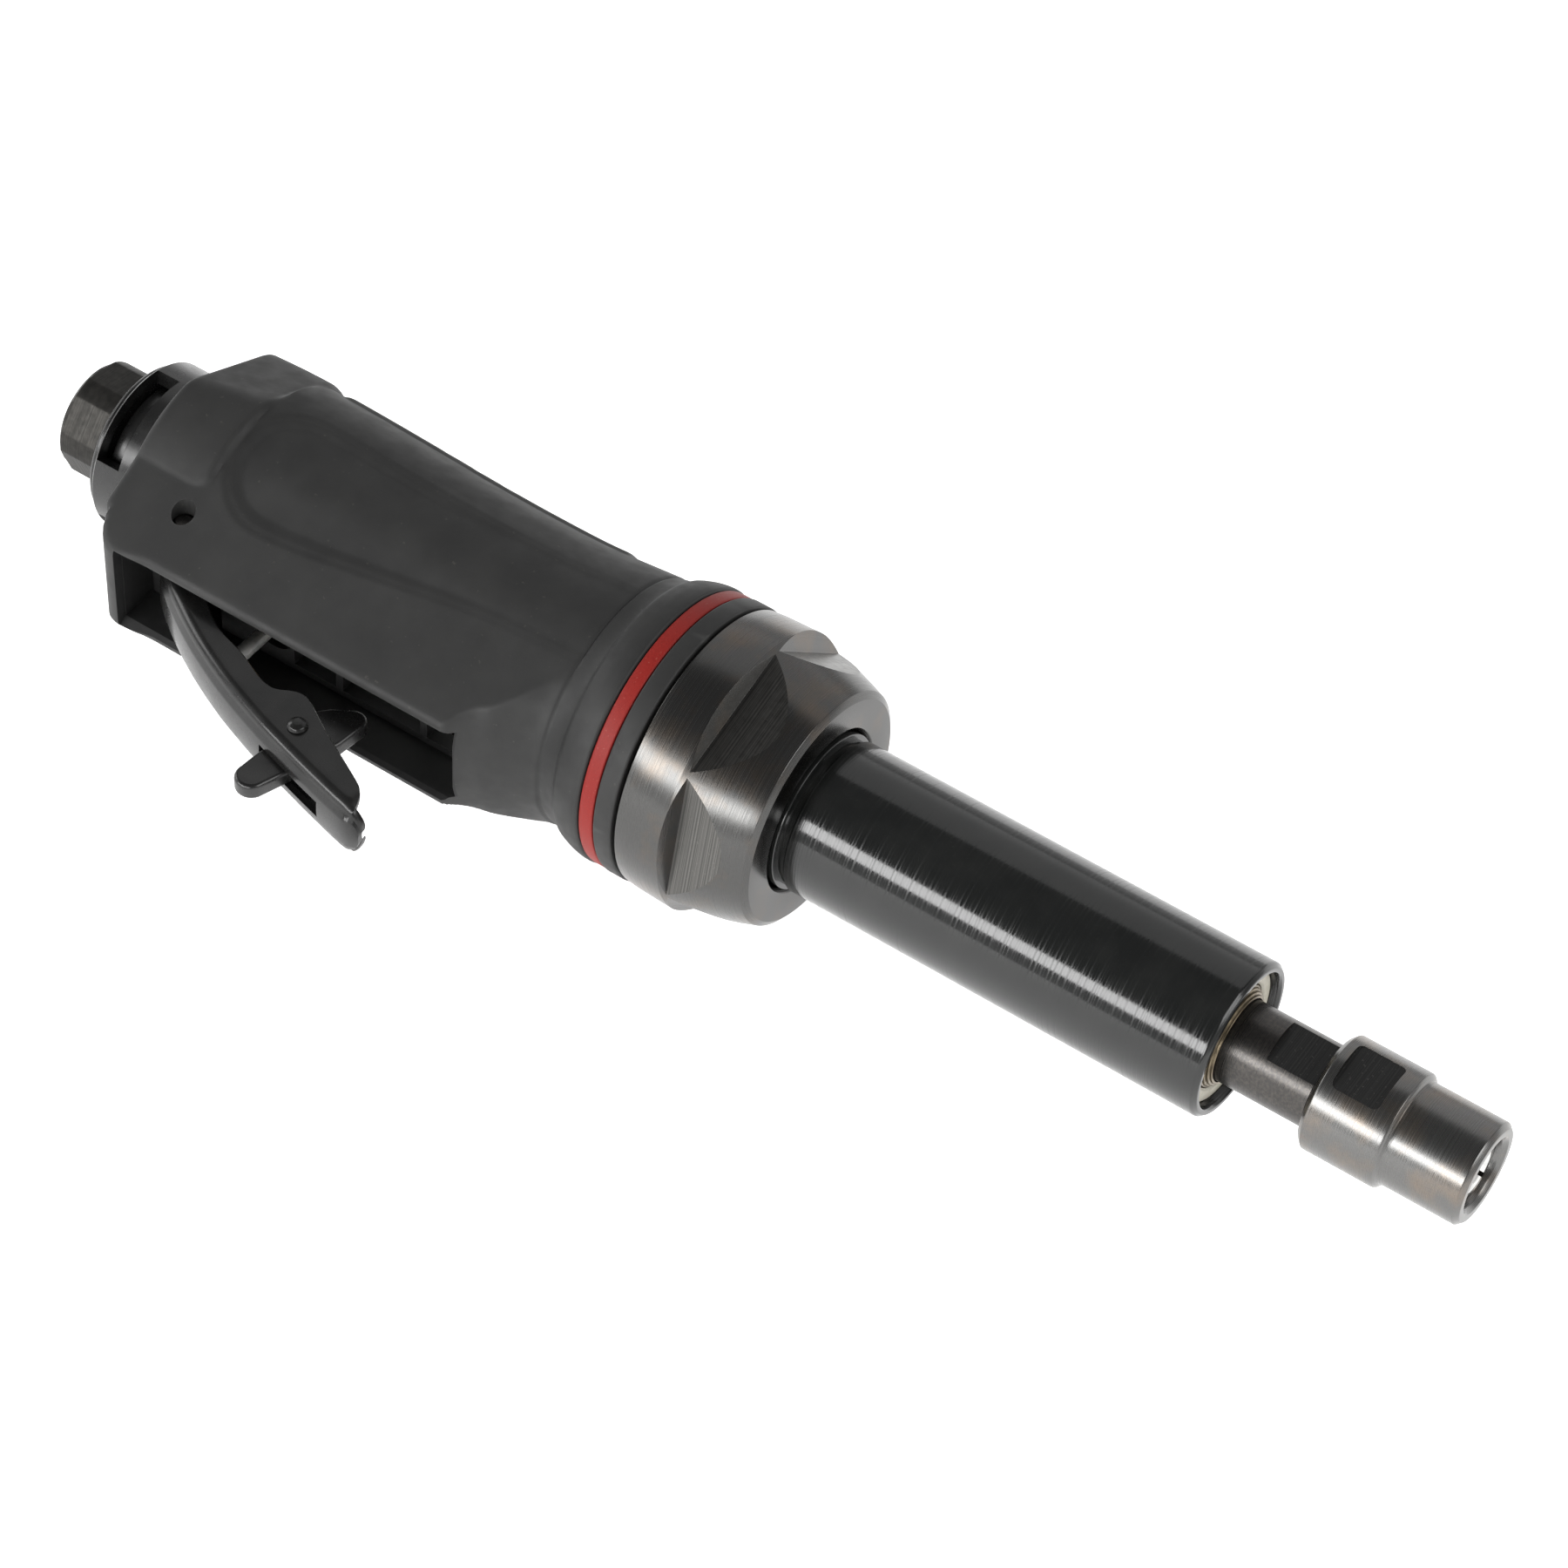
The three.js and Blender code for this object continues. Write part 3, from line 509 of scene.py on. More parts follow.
def spindle_look():
    look = Look("blackened_spindle", (0.07, 0.067, 0.064), 0.3, 1.0)
    grooves = look.rings(0.14, 3)
    freckle = look.noise(0.5, 3)
    look.colour(look.blend(freckle, 0.4, 0.7, (0.07, 0.067, 0.065), (0.1, 0.093, 0.086)))
    look.roughness(look.between(grooves, 0.3, 0.7, 0.24, 0.4))
    look.bump(grooves, 0.008, 0.4)
    return look


def red_look():
    look = Look("red_band", (0.36, 0.02, 0.014), 0.5, 0.0, Specular_IOR_Level=0.25)
    streak = look.noise(0.35, 3, 0.6, stretch=(6, 1, 1))
    fleck = look.between(look.noise(0.4, 1), 0.7, 0.76, 0, 0.35)
    tone = look.blend(streak, 0.3, 0.7, (0.18, 0.009, 0.007), (0.27, 0.018, 0.013))
    look.colour(look.mix(fleck, tone, (0.36, 0.12, 0.09)))
    look.roughness(look.between(streak, 0.3, 0.7, 0.42, 0.6))
    look.bump(streak, 0.02, 0.4)
    return look


def enamel_look():
    gloss = {"Specular_IOR_Level": 0.36, "Coat_Weight": 0.12, "Coat_Roughness": 0.08}
    look = Look("black_enamel", (0.011, 0.011, 0.011), 0.3, 0.0, **gloss)
    look.colour(look.blend(look.noise(5, 2), 0.35, 0.65, (0.006, 0.006, 0.006), (0.01, 0.0098, 0.0095)))
    look.roughness(look.between(look.noise(4, 2), 0.3, 0.7, 0.24, 0.31))
    look.bump(look.noise(0.3, 1), 0.002, 0.3)
    return look


def gloss_plastic_look():
    look = Look("gloss_plastic", (0.012, 0.012, 0.0118), 0.26, 0.0, Specular_IOR_Level=0.55)
    look.colour(look.blend(look.noise(3, 2), 0.35, 0.65, (0.007, 0.007, 0.007), (0.011, 0.0109, 0.0105)))
    look.roughness(look.between(look.noise(2.4, 2), 0.3, 0.7, 0.24, 0.32))
    look.bump(look.noise(0.5, 1), 0.003, 0.3)
    return look


def machined_look(name, dark, light, roughness, groove_mm=0.2):
    look = Look(name, light, roughness, 1.0)
    grooves = look.rings(groove_mm, 3)
    look.colour(look.blend(look.noise(1.4, 3), 0.35, 0.7, dark, light))
    look.roughness(look.between(grooves, 0.3, 0.7, roughness * 0.8, min(roughness * 1.25, 1)))
    look.bump(grooves, 0.01, 0.4)
    return look


def cast_look():
    look = Look("cast_alloy", (0.6, 0.6, 0.58), 0.5, 0.15)
    grain = look.noise(0.5, 4, 0.65)
    look.colour(look.blend(grain, 0.35, 0.7, (0.52, 0.53, 0.52), (0.66, 0.66, 0.64)))
    look.roughness(look.between(grain, 0.3, 0.7, 0.42, 0.62))
    look.bump(grain, 0.03, 0.5)
    return look


def soft_look(name, dark, light, roughness, grain_mm):
    look = Look(name, light, roughness, 0.0, Specular_IOR_Level=0.3)
    grain = look.noise(grain_mm, 4, 0.65)
    look.colour(look.blend(grain, 0.3, 0.7, dark, light))
    look.roughness(look.between(grain, 0.3, 0.7, roughness - 0.06, min(roughness + 0.06, 1)))
    look.bump(grain, 0.03, 0.6)
    return look


LOOKS = {
    "grip_composite": composite_look(),
    "red_anodised": red_look(),
    "housing_alloy": cast_look(),
    "gunmetal_steel": gunmetal_look("gunmetal", 0.1, 0.2, 0.3),
    "black_oxide": black_oxide_look(),
    "bearing_steel": machined_look("polished_steel", (0.56, 0.56, 0.55), (0.72, 0.71, 0.69), 0.14),
    "plain_steel": machined_look("plain_steel", (0.3, 0.295, 0.29), (0.46, 0.45, 0.44), 0.34),
    "brass": machined_look("bronze", (0.13, 0.105, 0.07), (0.25, 0.205, 0.14), 0.34),
    "seal_rubber": soft_look("seal_rubber", (0.014, 0.014, 0.014), (0.026, 0.026, 0.026), 0.7, 0.3),
    "black_plastic": gloss_plastic_look(),
    "black_enamel": enamel_look(),
    "vane_resin": soft_look("vane_resin", (0.1, 0.045, 0.018), (0.19, 0.1, 0.05), 0.5, 0.6),
    "washer_metal": soft_look("cream_washer", (0.5, 0.47, 0.38), (0.62, 0.59, 0.5), 0.42, 0.8),
}
SPINDLE_LOOK = spindle_look()
NUT_LOOK = gunmetal_look("collet_nut_steel", 0.17, 0.22, 0.32)
INLET_LOOK = machined_look("satin_steel", (0.035, 0.034, 0.032), (0.05, 0.048, 0.045), 0.5)
# Lighter than the plain steel of its slot: painted light on the valve stem, which sits in shade under the
# grip.
STEM_PAINTED_LIGHT_LOOK = machined_look("valve_steel_painted_light", (0.55, 0.55, 0.54), (0.68, 0.67, 0.65), 0.55)
DARK_FLAT_LOOK = milled_look("dark_flat", (0.042, 0.042, 0.042), (0.056, 0.056, 0.055), 0.5)
NOTCH_LOOK = milled_look("notch_floor", (0.085, 0.084, 0.08), (0.15, 0.145, 0.138), 0.32)
# Darker than the grip composite: painted shade for the hollow of the lever slot, not a different moulding.
SLOT_SHADE_LOOK = soft_look("slot_inside_painted_shade", (0.012, 0.012, 0.012), (0.018, 0.018, 0.018), 0.6, 1.5)

node_slots = {part["node"]: part["material_slot"] for part in frame["record"]["subparts"]}
record_bodies = frame["record"]["behaviour"]["bodies"]
node_bodies = {node: body for body, nodes in record_bodies.items() for node in nodes}


def dress(obj, look):
    obj.data.materials.clear()
    obj.data.materials.append(look.material)


for node, obj in frame["nodes"].items():
    dress(obj, LOOKS[node_slots[node]])


def stand_for(obj, *nodes, look=None):
    """obj takes the place of the CAD nodes: it joins their body and wears their slot's look, or the look
    given.
    """
    slot = node_slots[nodes[0]]
    dress(obj, look or LOOKS[slot])
    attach(obj, node_bodies[nodes[0]])
    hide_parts(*nodes)
    return obj


# ---------------------------------------------------------------- camera, floor and lights

LENS = 111.6
SENSOR = 36.0
CAMERA = (303.66, -458.92, 599.78)
CAMERA_RIGHT = Vector((0.81967, 0.57109, 0.04474))
CAMERA_UP = Vector((-0.44886, 0.59178, 0.66956))
VIEW_REACH = 20
FLOOR_HALF = 6.0
FLOOR_GLOW = 0.85
SKY_SHADE = (0.03, 0.5, 0.72, 0.16)

# name, direction from the tool, distance, width, height and watts
SOFTBOXES = [
    ("key_softbox", (0.8, 0.05, 0.6), 1.8, 1.2, 0.9, 14),
    ("side_softbox", (-0.25, -0.87, 0.36), 1.3, 1.9, 0.33, 20),
    ("back_board", (-0.15, 0.75, 0.65), 1.8, 2.4, 1.6, 7),
    ("rear_softbox", (-0.9, -0.1, 0.4), 1.8, 0.9, 0.6, 7),
]


def make_camera():
    data = bpy.data.cameras.new("camera")
    data.lens = LENS
    data.sensor_width = SENSOR
    data.clip_end = VIEW_REACH
    camera = bpy.data.objects.new("camera", data)
    right = CAMERA_RIGHT.normalized()
    up = (CAMERA_UP - right * CAMERA_UP.dot(right)).normalized()
    turn = Matrix((right, up, right.cross(up))).transposed()
    camera.matrix_world = Matrix.Translation(at(*CAMERA)) @ turn.to_4x4()
    bpy.context.scene.collection.objects.link(camera)
    bpy.context.scene.camera = camera


def make_floor():
    size = FLOOR_HALF
    corners = [(-size, -size, 0), (size, -size, 0), (size, size, 0), (-size, size, 0)]
    floor = new_object("floor", corners, [(0, 1, 2, 3)])
    look = Look("pale_floor", (0.8, 0.8, 0.79), 0.75, 0.0, Specular_IOR_Level=0.15)
    look.shader.inputs["Emission Color"].default_value = (1, 1, 1, 1)
    look.shader.inputs["Emission Strength"].default_value = FLOOR_GLOW
    look.colour(look.mix(look.noise(400, 2), (0.78, 0.78, 0.775), (0.82, 0.82, 0.815)))
    floor.data.materials.append(look.material)


def area_light(name, direction, distance, width, height, power):
    """A softbox seen from the tool in that direction, facing it."""
    data = bpy.data.lights.new(name, "AREA")
    data.shape = "RECTANGLE"
    data.size = width
    data.size_y = height
    data.energy = power
    light = bpy.data.objects.new(name, data)
    away = Vector(direction).normalized()
    light.location = at(0, 0, 0) + away * distance
    light.rotation_euler = away.to_track_quat("Z", "Y").to_euler()
    bpy.context.scene.collection.objects.link(light)


def make_world():
    """Pale near the horizon and dim overhead: SKY_SHADE maps height to brightness."""
    world = bpy.data.worlds.new("studio")
    world.use_nodes = True
    tree = world.node_tree
    coordinates = tree.nodes.new("ShaderNodeTexCoord")
    split = tree.nodes.new("ShaderNodeSeparateXYZ")
    shade = tree.nodes.new("ShaderNodeMapRange")
    tree.links.new(coordinates.outputs["Generated"], split.inputs[0])
    tree.links.new(split.outputs["Z"], shade.inputs["Value"])
    for socket, value in zip(RANGE_SOCKETS, SKY_SHADE):
        shade.inputs[socket].default_value = value
    background = tree.nodes["Background"]
    background.inputs["Color"].default_value = (1, 1, 1, 1)
    tree.links.new(shade.outputs[0], background.inputs["Strength"])
    bpy.context.scene.world = world


make_camera()
make_floor()
make_world()
for softbox in SOFTBOXES:
    area_light(*softbox)
bpy.context.scene.view_settings.view_transform = "Standard"

# ---------------------------------------------------------------- grip shell

GRIP_REAR, GRIP_FRONT = -108.0, -7.1
SIDE_NORMAL = 61.2
SIDE_DISTANCE = 22.9
RAIL_FACE = 30.0
BACK_RADIUS = [
    (-108, 23.3), (-100, 23.5), (-88, 23.4), (-68, 22.8),
    (-55, 22.3), (-42, 22.1), (-32, 22.2), (-17, 23.3),
]
FRONT_BLOCK = [(-34, 34.5), (-30.6, 29.6), (-25.4, 27.0), (-21.8, 25.1), (-18.9, 23.9), (-16.7, 23.5)]
FLARE = [(-16.7, 23.5), (-14, 23.9), (-11.6, 24.95), (-10, 25.6), (-8.5, 25.9), (-7.1, 25.9)]
PANEL_EDGES = [(-100, 47, 101), (-80, 44, 99), (-58, 50, 98), (-38, 57, 99), (-17, 60, 100)]
BLOCK_FRONT = -93.0
FINGER_GROOVES = (-67, -60.5, -54)
ROOF_WINDOWS = ((-70, -61), (-59.5, -43), (-41.5, -32.5))
PIVOT = (-94, -20.7)
VALVE_X = -74.6


def grip_radius(x, r, phi):
    """Outer radius of the grip. psi is the angle from the lever side, the same on both halves."""
    psi = np.abs(from_angle(phi, -90))
    to_front = smoothstep(-32, -17, x)
    side = SIDE_DISTANCE + 0.45 * to_front
    back = eased(x, BACK_RADIUS)
    round_part = side + (back - side) * smoothstep(72, 112, psi)
    flat_side = side / np.cos(np.radians(np.minimum(SIDE_NORMAL - psi, 75)))
    wall = np.where(psi < SIDE_NORMAL, flat_side, round_part)

    # the shallow oval panel, with a sloped border
    low, high = (eased(x, [(e[0], e[k]) for e in PANEL_EDGES]) for k in (1, 2))
    across = (psi - (low + high) / 2) / ((high - low) / 2)
    behind = np.clip((-80 - x) / 11.5, 0, None)
    oval = (np.abs(across) ** 2.4 + behind**2.4) ** (1 / 2.4)
    depth = 1.0 - 0.8 * smoothstep(-70, -24, x)
    wall = wall - depth * (0.3 * ramp(1.12, 1.06, oval) + 0.7 * ramp(1.0, 0.86, oval))

    # the block at the rear stands proud, with a sloping facet on top
    facet = (21.1 + 0.1 * (x - GRIP_REAR)) / np.cos(np.radians(np.clip(psi - 114, -60, 60)))
    proud = smooth_min(np.maximum(round_part + 0.9, 23.7), facet, 1.2)
    corner = np.clip((x - (BLOCK_FRONT - 3)) / 3, 0, None) ** 2 + np.clip((53 - psi) / 7, 0, None) ** 2
    on_block = ramp(1.12, 0.84, np.sqrt(corner)) * ramp(168, 160, psi)
    wall = wall + (proud - wall) * on_block

    # a low pad on the back, with three finger grooves
    pad = smoothstep(-89.5, -87.8, x) * (1 - smoothstep(-28.5, -26.8, x)) * smoothstep(134, 137, psi)
    grooves = sum(np.exp(-(((x - middle) / 0.8) ** 2)) for middle in FINGER_GROOVES)
    wall = wall + pad * (0.45 - 0.5 * np.minimum(grooves, 1) * smoothstep(139, 142, psi))

    # rails, heel and the block in front of the lever
    heel = 1.2 * (1 - smoothstep(-102, -94, x))
    rounding = quarter_round(6, x - GRIP_REAR - 1.4)
    floor = (RAIL_FACE + heel - rounding) / np.cos(np.radians(np.minimum(psi, 80)))
    wall = smooth_min(wall, np.where(psi < 75, floor, 99), 0.9)
    wall = smooth_min(wall, np.where(x < -16.7, eased(x, FRONT_BLOCK), 99), 0.35)
    wall = np.where(x >= -16.7, eased(x, FLARE), wall)
    wall = wall + 0.3 * smoothstep(-13.3, -12.8, x) * (1 - smoothstep(-12.8, -9, x))
    wall = wall - 0.25 * smoothstep(-17.4, -16.9, x) * (1 - smoothstep(-16.9, -13.4, x))

    # rounded rear and front rims
    wall = wall - quarter_round(1.1, x - GRIP_REAR) - quarter_round(0.5, GRIP_FRONT - x)
    return np.where(r > 20, wall, r)


def inside_slot(centre, normal):
    """Faces of the lever slot, its flared mouth and its end walls, which take the darker slot material as
    painted shade.
    """
    if not (-101.5 < centre.x < -30 and -33.4 < centre.y < -15 and abs(centre.z) < 10.9):
        return False
    end_wall = abs(normal.x) > 0.9
    side_wall = abs(normal.z) > 0.3 and normal.z * centre.z < 0
    return end_wall or side_wall or abs(centre.z) < 7.85


def make_grip():
    outside = np.concatenate([
        GRIP_REAR + 1.1 * (1 - np.cos(np.linspace(0, math.pi / 2, 5)[:-1])),
        np.arange(GRIP_REAR + 1.1, -31.6, 0.55),
        np.arange(-31.6, -8.2, 0.3),
        np.linspace(-8.2, GRIP_FRONT, 8),
    ])
    profile = [(x, 24.0) for x in outside]
    profile += [(GRIP_FRONT, 19.4), (-84, 19.4), (-84, 16.9)]
    profile += [(-104.3, 16.9), (-104.3, 12), (GRIP_REAR, 12)]
    grip = spun("grip_body", profile, 320, grip_radius)
    slot = block("slot", -101.2, -30.4, -34.0, -21.6, -7.9, 7.9)
    mouth = block("mouth", -101.3, -30.2, -33.4, -29.0, -7.8, 7.8, flare=3.0)
    pocket = block("pocket", -99.6, -86, -30, -16.6, -7.9, 7.9)
    windows = [block("window", x0, x1, -24, -15, -6.5, 6.5) for x0, x1 in ROOF_WINDOWS]
    valve_hole = spun_upright("valve_hole", [(-24, 0), (-24, 4.9), (-15, 4.9), (-15, 0)], VALVE_X)
    pin_hole = spun_across("pin_hole", [(-30, 0), (-30, 2.15), (30, 2.15), (30, 0)], *PIVOT)
    cut(grip, slot, mouth, pocket, valve_hole, pin_hole, *windows)
    stand_for(grip, "grip_shell")
    # The slot's inside faces take the darker material: painted shade for the slot's hollow.
    mark_faces(grip, SLOT_SHADE_LOOK, inside_slot)


make_grip()

# ---------------------------------------------------------------- red band, lock ring and housing

red_profile = rounded([(-6.9, 19.5), (-6.9, 25.7, 0.35), (-4.1, 25.7, 0.35), (-4.1, 19.5)])
stand_for(spun("red_band_ring", red_profile, 192), "grip_red_band")
lock_profile = rounded([(-3.9, 20.6), (-3.9, 25.85, 0.45), (-0.3, 25.85, 0.45), (-0.3, 20.6)])
stand_for(spun("lock_ring", lock_profile, 192), "grip_lock_ring")

housing_profile = rounded([
    (-104, 8.4), (-104, 16.5, 0.8), (-83.8, 16.5), (-83.8, 19, 0.6), (-3.6, 19), (-3.6, 20.2, 0.3),
    (6, 20.2, 0.4), (6, 16.4), (-62, 16.4), (-62, 8.4),
])
housing = spun("housing_casting", housing_profile, 128)
valve_bore = [(-20, 0), (-20, 4.6), (-10, 4.6), (-10, 2.9), (-1.4, 2.9), (-1.4, 5.5), (20, 5.5), (20, 0)]
cut(housing, spun_upright("valve_bore", valve_bore, VALVE_X))
stand_for(housing, "motor_housing")

# ---------------------------------------------------------------- clamp nut

NOTCH_SECTION = [(10.5, 22.65), (30, 23.5), (30, 30), (7.8, 30)]
NOTCH_FLOOR = 22.75
NOTCH_FLOOR_RISE = 0.45
NOTCH_CENTRES = [-19 + 60 * i for i in range(6)]


def notch(centre):
    """Spanner notch across the nut: a floor that rises a little forwards and a steep rear wall."""
    points = [(x, y, r) for y in (-19, 19) for x, r in NOTCH_SECTION]
    faces = [(0, 1, 2, 3), (7, 6, 5, 4), (0, 4, 5, 1), (1, 5, 6, 2), (2, 6, 7, 3), (3, 7, 4, 0)]
    tool = new_object("notch", to_row(points), faces)
    turn_about_spindle(tool, -centre)
    return tool


def make_clamp_nut():
    nut = spun("clamp_nut_body", rounded([
        (0, 20.6), (0, 25.1, 0.15), (0.5, 25.65, 0.2), (3, 25.9),
        (9.5, 26.15, 0.25), (14.2, 24.75), (18.1, 23.5),
        (20.5, 22.78), (23.2, 21.85, 0.25), (24, 20.7, 0.3),
        (24, 15.4, 0.35), (23.0, 14.75, 0.3), (14.2, 14.75),
        (14.2, 20.6),
    ]), 288)
    cut(nut, *[notch(centre) for centre in NOTCH_CENTRES])
    soften(nut, 0.1, 9)
    stand_for(nut, "clamp_nut")
    mark_faces(nut, NOTCH_LOOK, on_plane(NOTCH_FLOOR, NOTCH_CENTRES, NOTCH_FLOOR_RISE))


make_clamp_nut()

# ---------------------------------------------------------------- nose tube and its front rings

tube_profile = rounded([
    (-3.4, 12.8), (-3.4, 15.9), (6.4, 15.9), (6.4, 19.8), (13.7, 19.8), (13.7, 14.4), (24.4, 14.4, 0.2),
    (24.4, 13.5), (25.9, 13.5, 0.1), (26.3, 14, 0.25),
    (104.9, 14, 0.5), (105.7, 13.3, 0.35), (105.7, 12.5, 0.2),
    (105.2, 12.2), (91.6, 12.2), (91.6, 10), (21, 10), (21, 12.2), (13, 12.2), (13, 12.8),
])
stand_for(spun("nose_barrel", tube_profile, 192), "nose_tube")

retainer = rounded([
    (102.2, 9.5), (102.2, 12), (103.7, 12, 0.15), (104, 11.6, 0.1), (104, 9.9, 0.1), (103.7, 9.5),
])
stand_for(spun("cream_washer", retainer, 128), "bearing_retainer")

dust_ring = rounded([
    (99, 7.6), (99, 9.3), (103.9, 9.3, 0.2), (103.9, 8.95, 0.05), (104.3, 8.9, 0.2), (104.3, 8.5, 0.05),
    (104.8, 8.45, 0.2), (104.8, 8.05, 0.05), (105.2, 8.0, 0.15), (105.2, 7.6),
])
stand_for(spun("bronze_dust_ring", dust_ring, 128), "spindle_dust_ring")

# ---------------------------------------------------------------- spindle and chuck

FLAT_CENTRES = (-6.4, 173.6)
SPINDLE_FLAT = 6.0
FLAT_REAR = 112.6
NUT_FLAT = 9.0
POCKET = (124.3, 132.9)


def rounded_outline(x0, x1, half, fillet):
    """A rectangle of (x, across) points with rounded corners."""
    points = []
    for cx, cy, start in (
        (x1 - fillet, half - fillet, 0), (x0 + fillet, half - fillet, 90),
        (x0 + fillet, fillet - half, 180), (x1 - fillet, fillet - half, 270),
    ):
        points += arc(cx, cy, fillet, start, start + 90, 5)
    return points


def make_spindle():
    profile = [
        (11.9, 0.01), (11.9, 6), (21.2, 6), (21.2, 7.2), (91.5, 7.2), (91.5, 6), (98.5, 6), (98.5, 7.35),
        (121.3, 7.35), (121.3, 6.6), (135.6, 6.6), (136, 6.2), (136, 5.2), (104, 5.2), (104, 0.01),
    ]
    spindle = spun("spindle_shaft", profile, 256)
    outline = rounded_outline(FLAT_REAR, 128, 8, 1.6)
    cut(spindle, *[radial_prism("flat", outline, SPINDLE_FLAT, 12, centre) for centre in FLAT_CENTRES])
    soften(spindle, 0.12, 18)
    stand_for(spindle, "nose_spindle", look=SPINDLE_LOOK)
    mark_faces(spindle, DARK_FLAT_LOOK, on_plane(SPINDLE_FLAT, FLAT_CENTRES))


def make_collet_nut():
    profile = rounded([
        (143, 6.8), (121.9, 6.8), (121.9, 9.3, 0.2),
        (122.8, 10.23, 0.3), (135.4, 10.23), (135.8, 10.1, 0.2),
        (136.1, 9.75, 0.2), (136.4, 9.3, 0.15), (137, 9.15, 0.3), (149.8, 9.15, 0.4), (150.67, 8.3, 0.3),
        (150.67, 6.9, 0.2), (149.9, 6.2, 0.3), (149, 5.9, 0.3),
    ])
    nut = spun("collet_nut_body", profile, 256)
    outline = rounded_outline(*POCKET, 4.75, 1.1)
    cut(nut, *[radial_prism("pocket", outline, NUT_FLAT, 14, centre) for centre in FLAT_CENTRES])
    soften(nut, 0.14, 22)
    stand_for(nut, "collet_nut", look=NUT_LOOK)
    mark_faces(nut, DARK_FLAT_LOOK, on_plane(NUT_FLAT, FLAT_CENTRES))


make_spindle()
make_collet_nut()


def make_collet():
    profile = rounded([
        (110, 3.05), (110, 4.8), (131.8, 4.8), (136.2, 5.6), (137, 6.1), (141.8, 6.1), (148.3, 5.5, 0.25),
        (149.2, 5.1, 0.25), (149.2, 3.9, 0.2), (148.6, 3.05, 0.2),
    ])
    collet = spun("split_collet", profile, 128)
    slits = []
    for turn in (0, 90):
        slit = block("slit", 118, 150, -8, 8, -0.4, 0.4)
        turn_about_spindle(slit, turn + 36)
        slits.append(slit)
    cut(collet, *slits)
    return stand_for(collet, "collet")


make_collet()

# ---------------------------------------------------------------- air inlet and exhaust deflector

HEX_CENTRES = [9.3 + 60 * i for i in range(6)]
HEX_DISTANCE = 10.0
THREAD_PITCH = 1.34


def inlet_surface(x, r, phi):
    """Hexagon with turned corners outside, a real thread inside."""
    outside = r
    for centre in HEX_CENTRES:
        near = np.abs(from_angle(phi, centre)) < 45
        outside = np.where(near, smooth_min(outside, flat(phi, centre, HEX_DISTANCE), 0.05), outside)
    phase = (x / THREAD_PITCH - phi / 360) % 1
    thread = 5.75 - 0.55 * (1 - np.abs(2 * phase - 1)) * smoothstep(-131.6, -130.6, x)
    inside = np.where(x > -118, r, np.minimum(r, thread))
    return np.where((r > 8.9) & (x < -121.5), outside, np.where((r < 6) & (x < -117.5), inside, r))


def make_inlet():
    profile = rounded([(-132, 6.7), (-132, 9.7, 0.2), (-131.2, 10.55, 0.3)], closed=False)
    profile += [(x, 10.6) for x in np.arange(-130.8, -121.7, 0.4)]
    profile += [(-121.5, 10.6), (-121.4, 8), (-93.4, 8), (-93.4, 6.9), (-91, 6.9), (-91, 8), (-88, 8)]
    profile += [(-88, 4.4), (-117, 4.4), (-117, 5.75)] + [(x, 5.75) for x in np.arange(-117.6, -131.3, -0.17)]
    inlet = spun("air_inlet", profile, 360, inlet_surface)
    return stand_for(inlet, "inlet_bushing", look=INLET_LOOK)


WINDOW_STARTS = (-63, 57, 177)
WINDOW_SWEEP = 74


def wedge(name, x0, x1, start, end, inner, outer):
    """A ring sector for cutting, between two angles round the axis."""
    angles = np.radians(np.linspace(start, end, 25))
    rings = []
    for x, r in ((x0, inner), (x0, outer), (x1, outer), (x1, inner)):
        rings.append([(x, r * math.sin(a), r * math.cos(a)) for a in angles])
    faces = grid_faces(4, len(angles), True, False)
    last = len(angles) - 1
    faces += [tuple(k * len(angles) for k in range(4)), tuple(k * len(angles) + last for k in (3, 2, 1, 0))]
    return new_object(name, to_row(rings).reshape(-1, 3), faces)


def make_deflector():
    profile = rounded([
        (-121.1, 8.5), (-121.1, 14.5, 0.25), (-120.6, 14.75, 0.2), (-119.9, 14.6, 0.2), (-119.8, 15.4, 0.1),
        (-119.3, 15.9, 0.3), (-110.2, 15.9, 0.3), (-109.9, 16.5, 0.25), (-108.5, 16.5, 0.3), (-108.5, 13.2),
        (-119.6, 13.2), (-119.6, 8.5),
    ])
    deflector = spun("deflector_cup", profile, 192)
    cut(deflector, *[
        wedge("window", -119.3, -114.4, start, start + WINDOW_SWEEP, 12.6, 20) for start in WINDOW_STARTS
    ])
    return stand_for(deflector, "exhaust_deflector")


make_inlet()
make_deflector()
baffle_profile = rounded([
    (-119, 8.5), (-119, 11.6, 0.3), (-118.6, 12.4, 0.5), (-116.4, 12.4, 0.5), (-115.9, 11.5, 0.3),
    (-114.8, 11.5, 0.3), (-114.4, 12.4, 0.5), (-110, 12.4, 0.3), (-110, 8.5),
])
stand_for(spun("exhaust_inner_ring", baffle_profile, 128), "exhaust_baffle_ring")

# ---------------------------------------------------------------- throttle lever

WEB = [
    (-98.2, -19.2), (-97.0, -22.7), (-93.2, -27.6), (-87, -31.9),
    (-79.5, -36.2), (-70.5, -40.4), (-61, -43.9),
    (-53.5, -46.2), (-44.5, -48.7), (-36.5, -50.6), (-32.9, -50.4),
]
FLANGE = [
    (-34.6, -50.0), (-35.2, -47.9), (-36.6, -46.2), (-38.6, -44.9),
    (-49, -39.4), (-54.6, -36.1), (-56.8, -35.35),
    (-58.6, -35.7), (-61, -37.0), (-62.8, -37.2), (-65.5, -36.5),
    (-71.3, -34), (-79.3, -31.2), (-88, -24.4),
    (-90.9, -20.2), (-91.8, -18.4), (-94, -17.5), (-96.2, -18.0), (-99, -19.5),
]
LEVER_WIDTH = 6.0
SHEET = 1.2
BEND = 1.9
CROWN = 0.8
TONGUE = 4.2


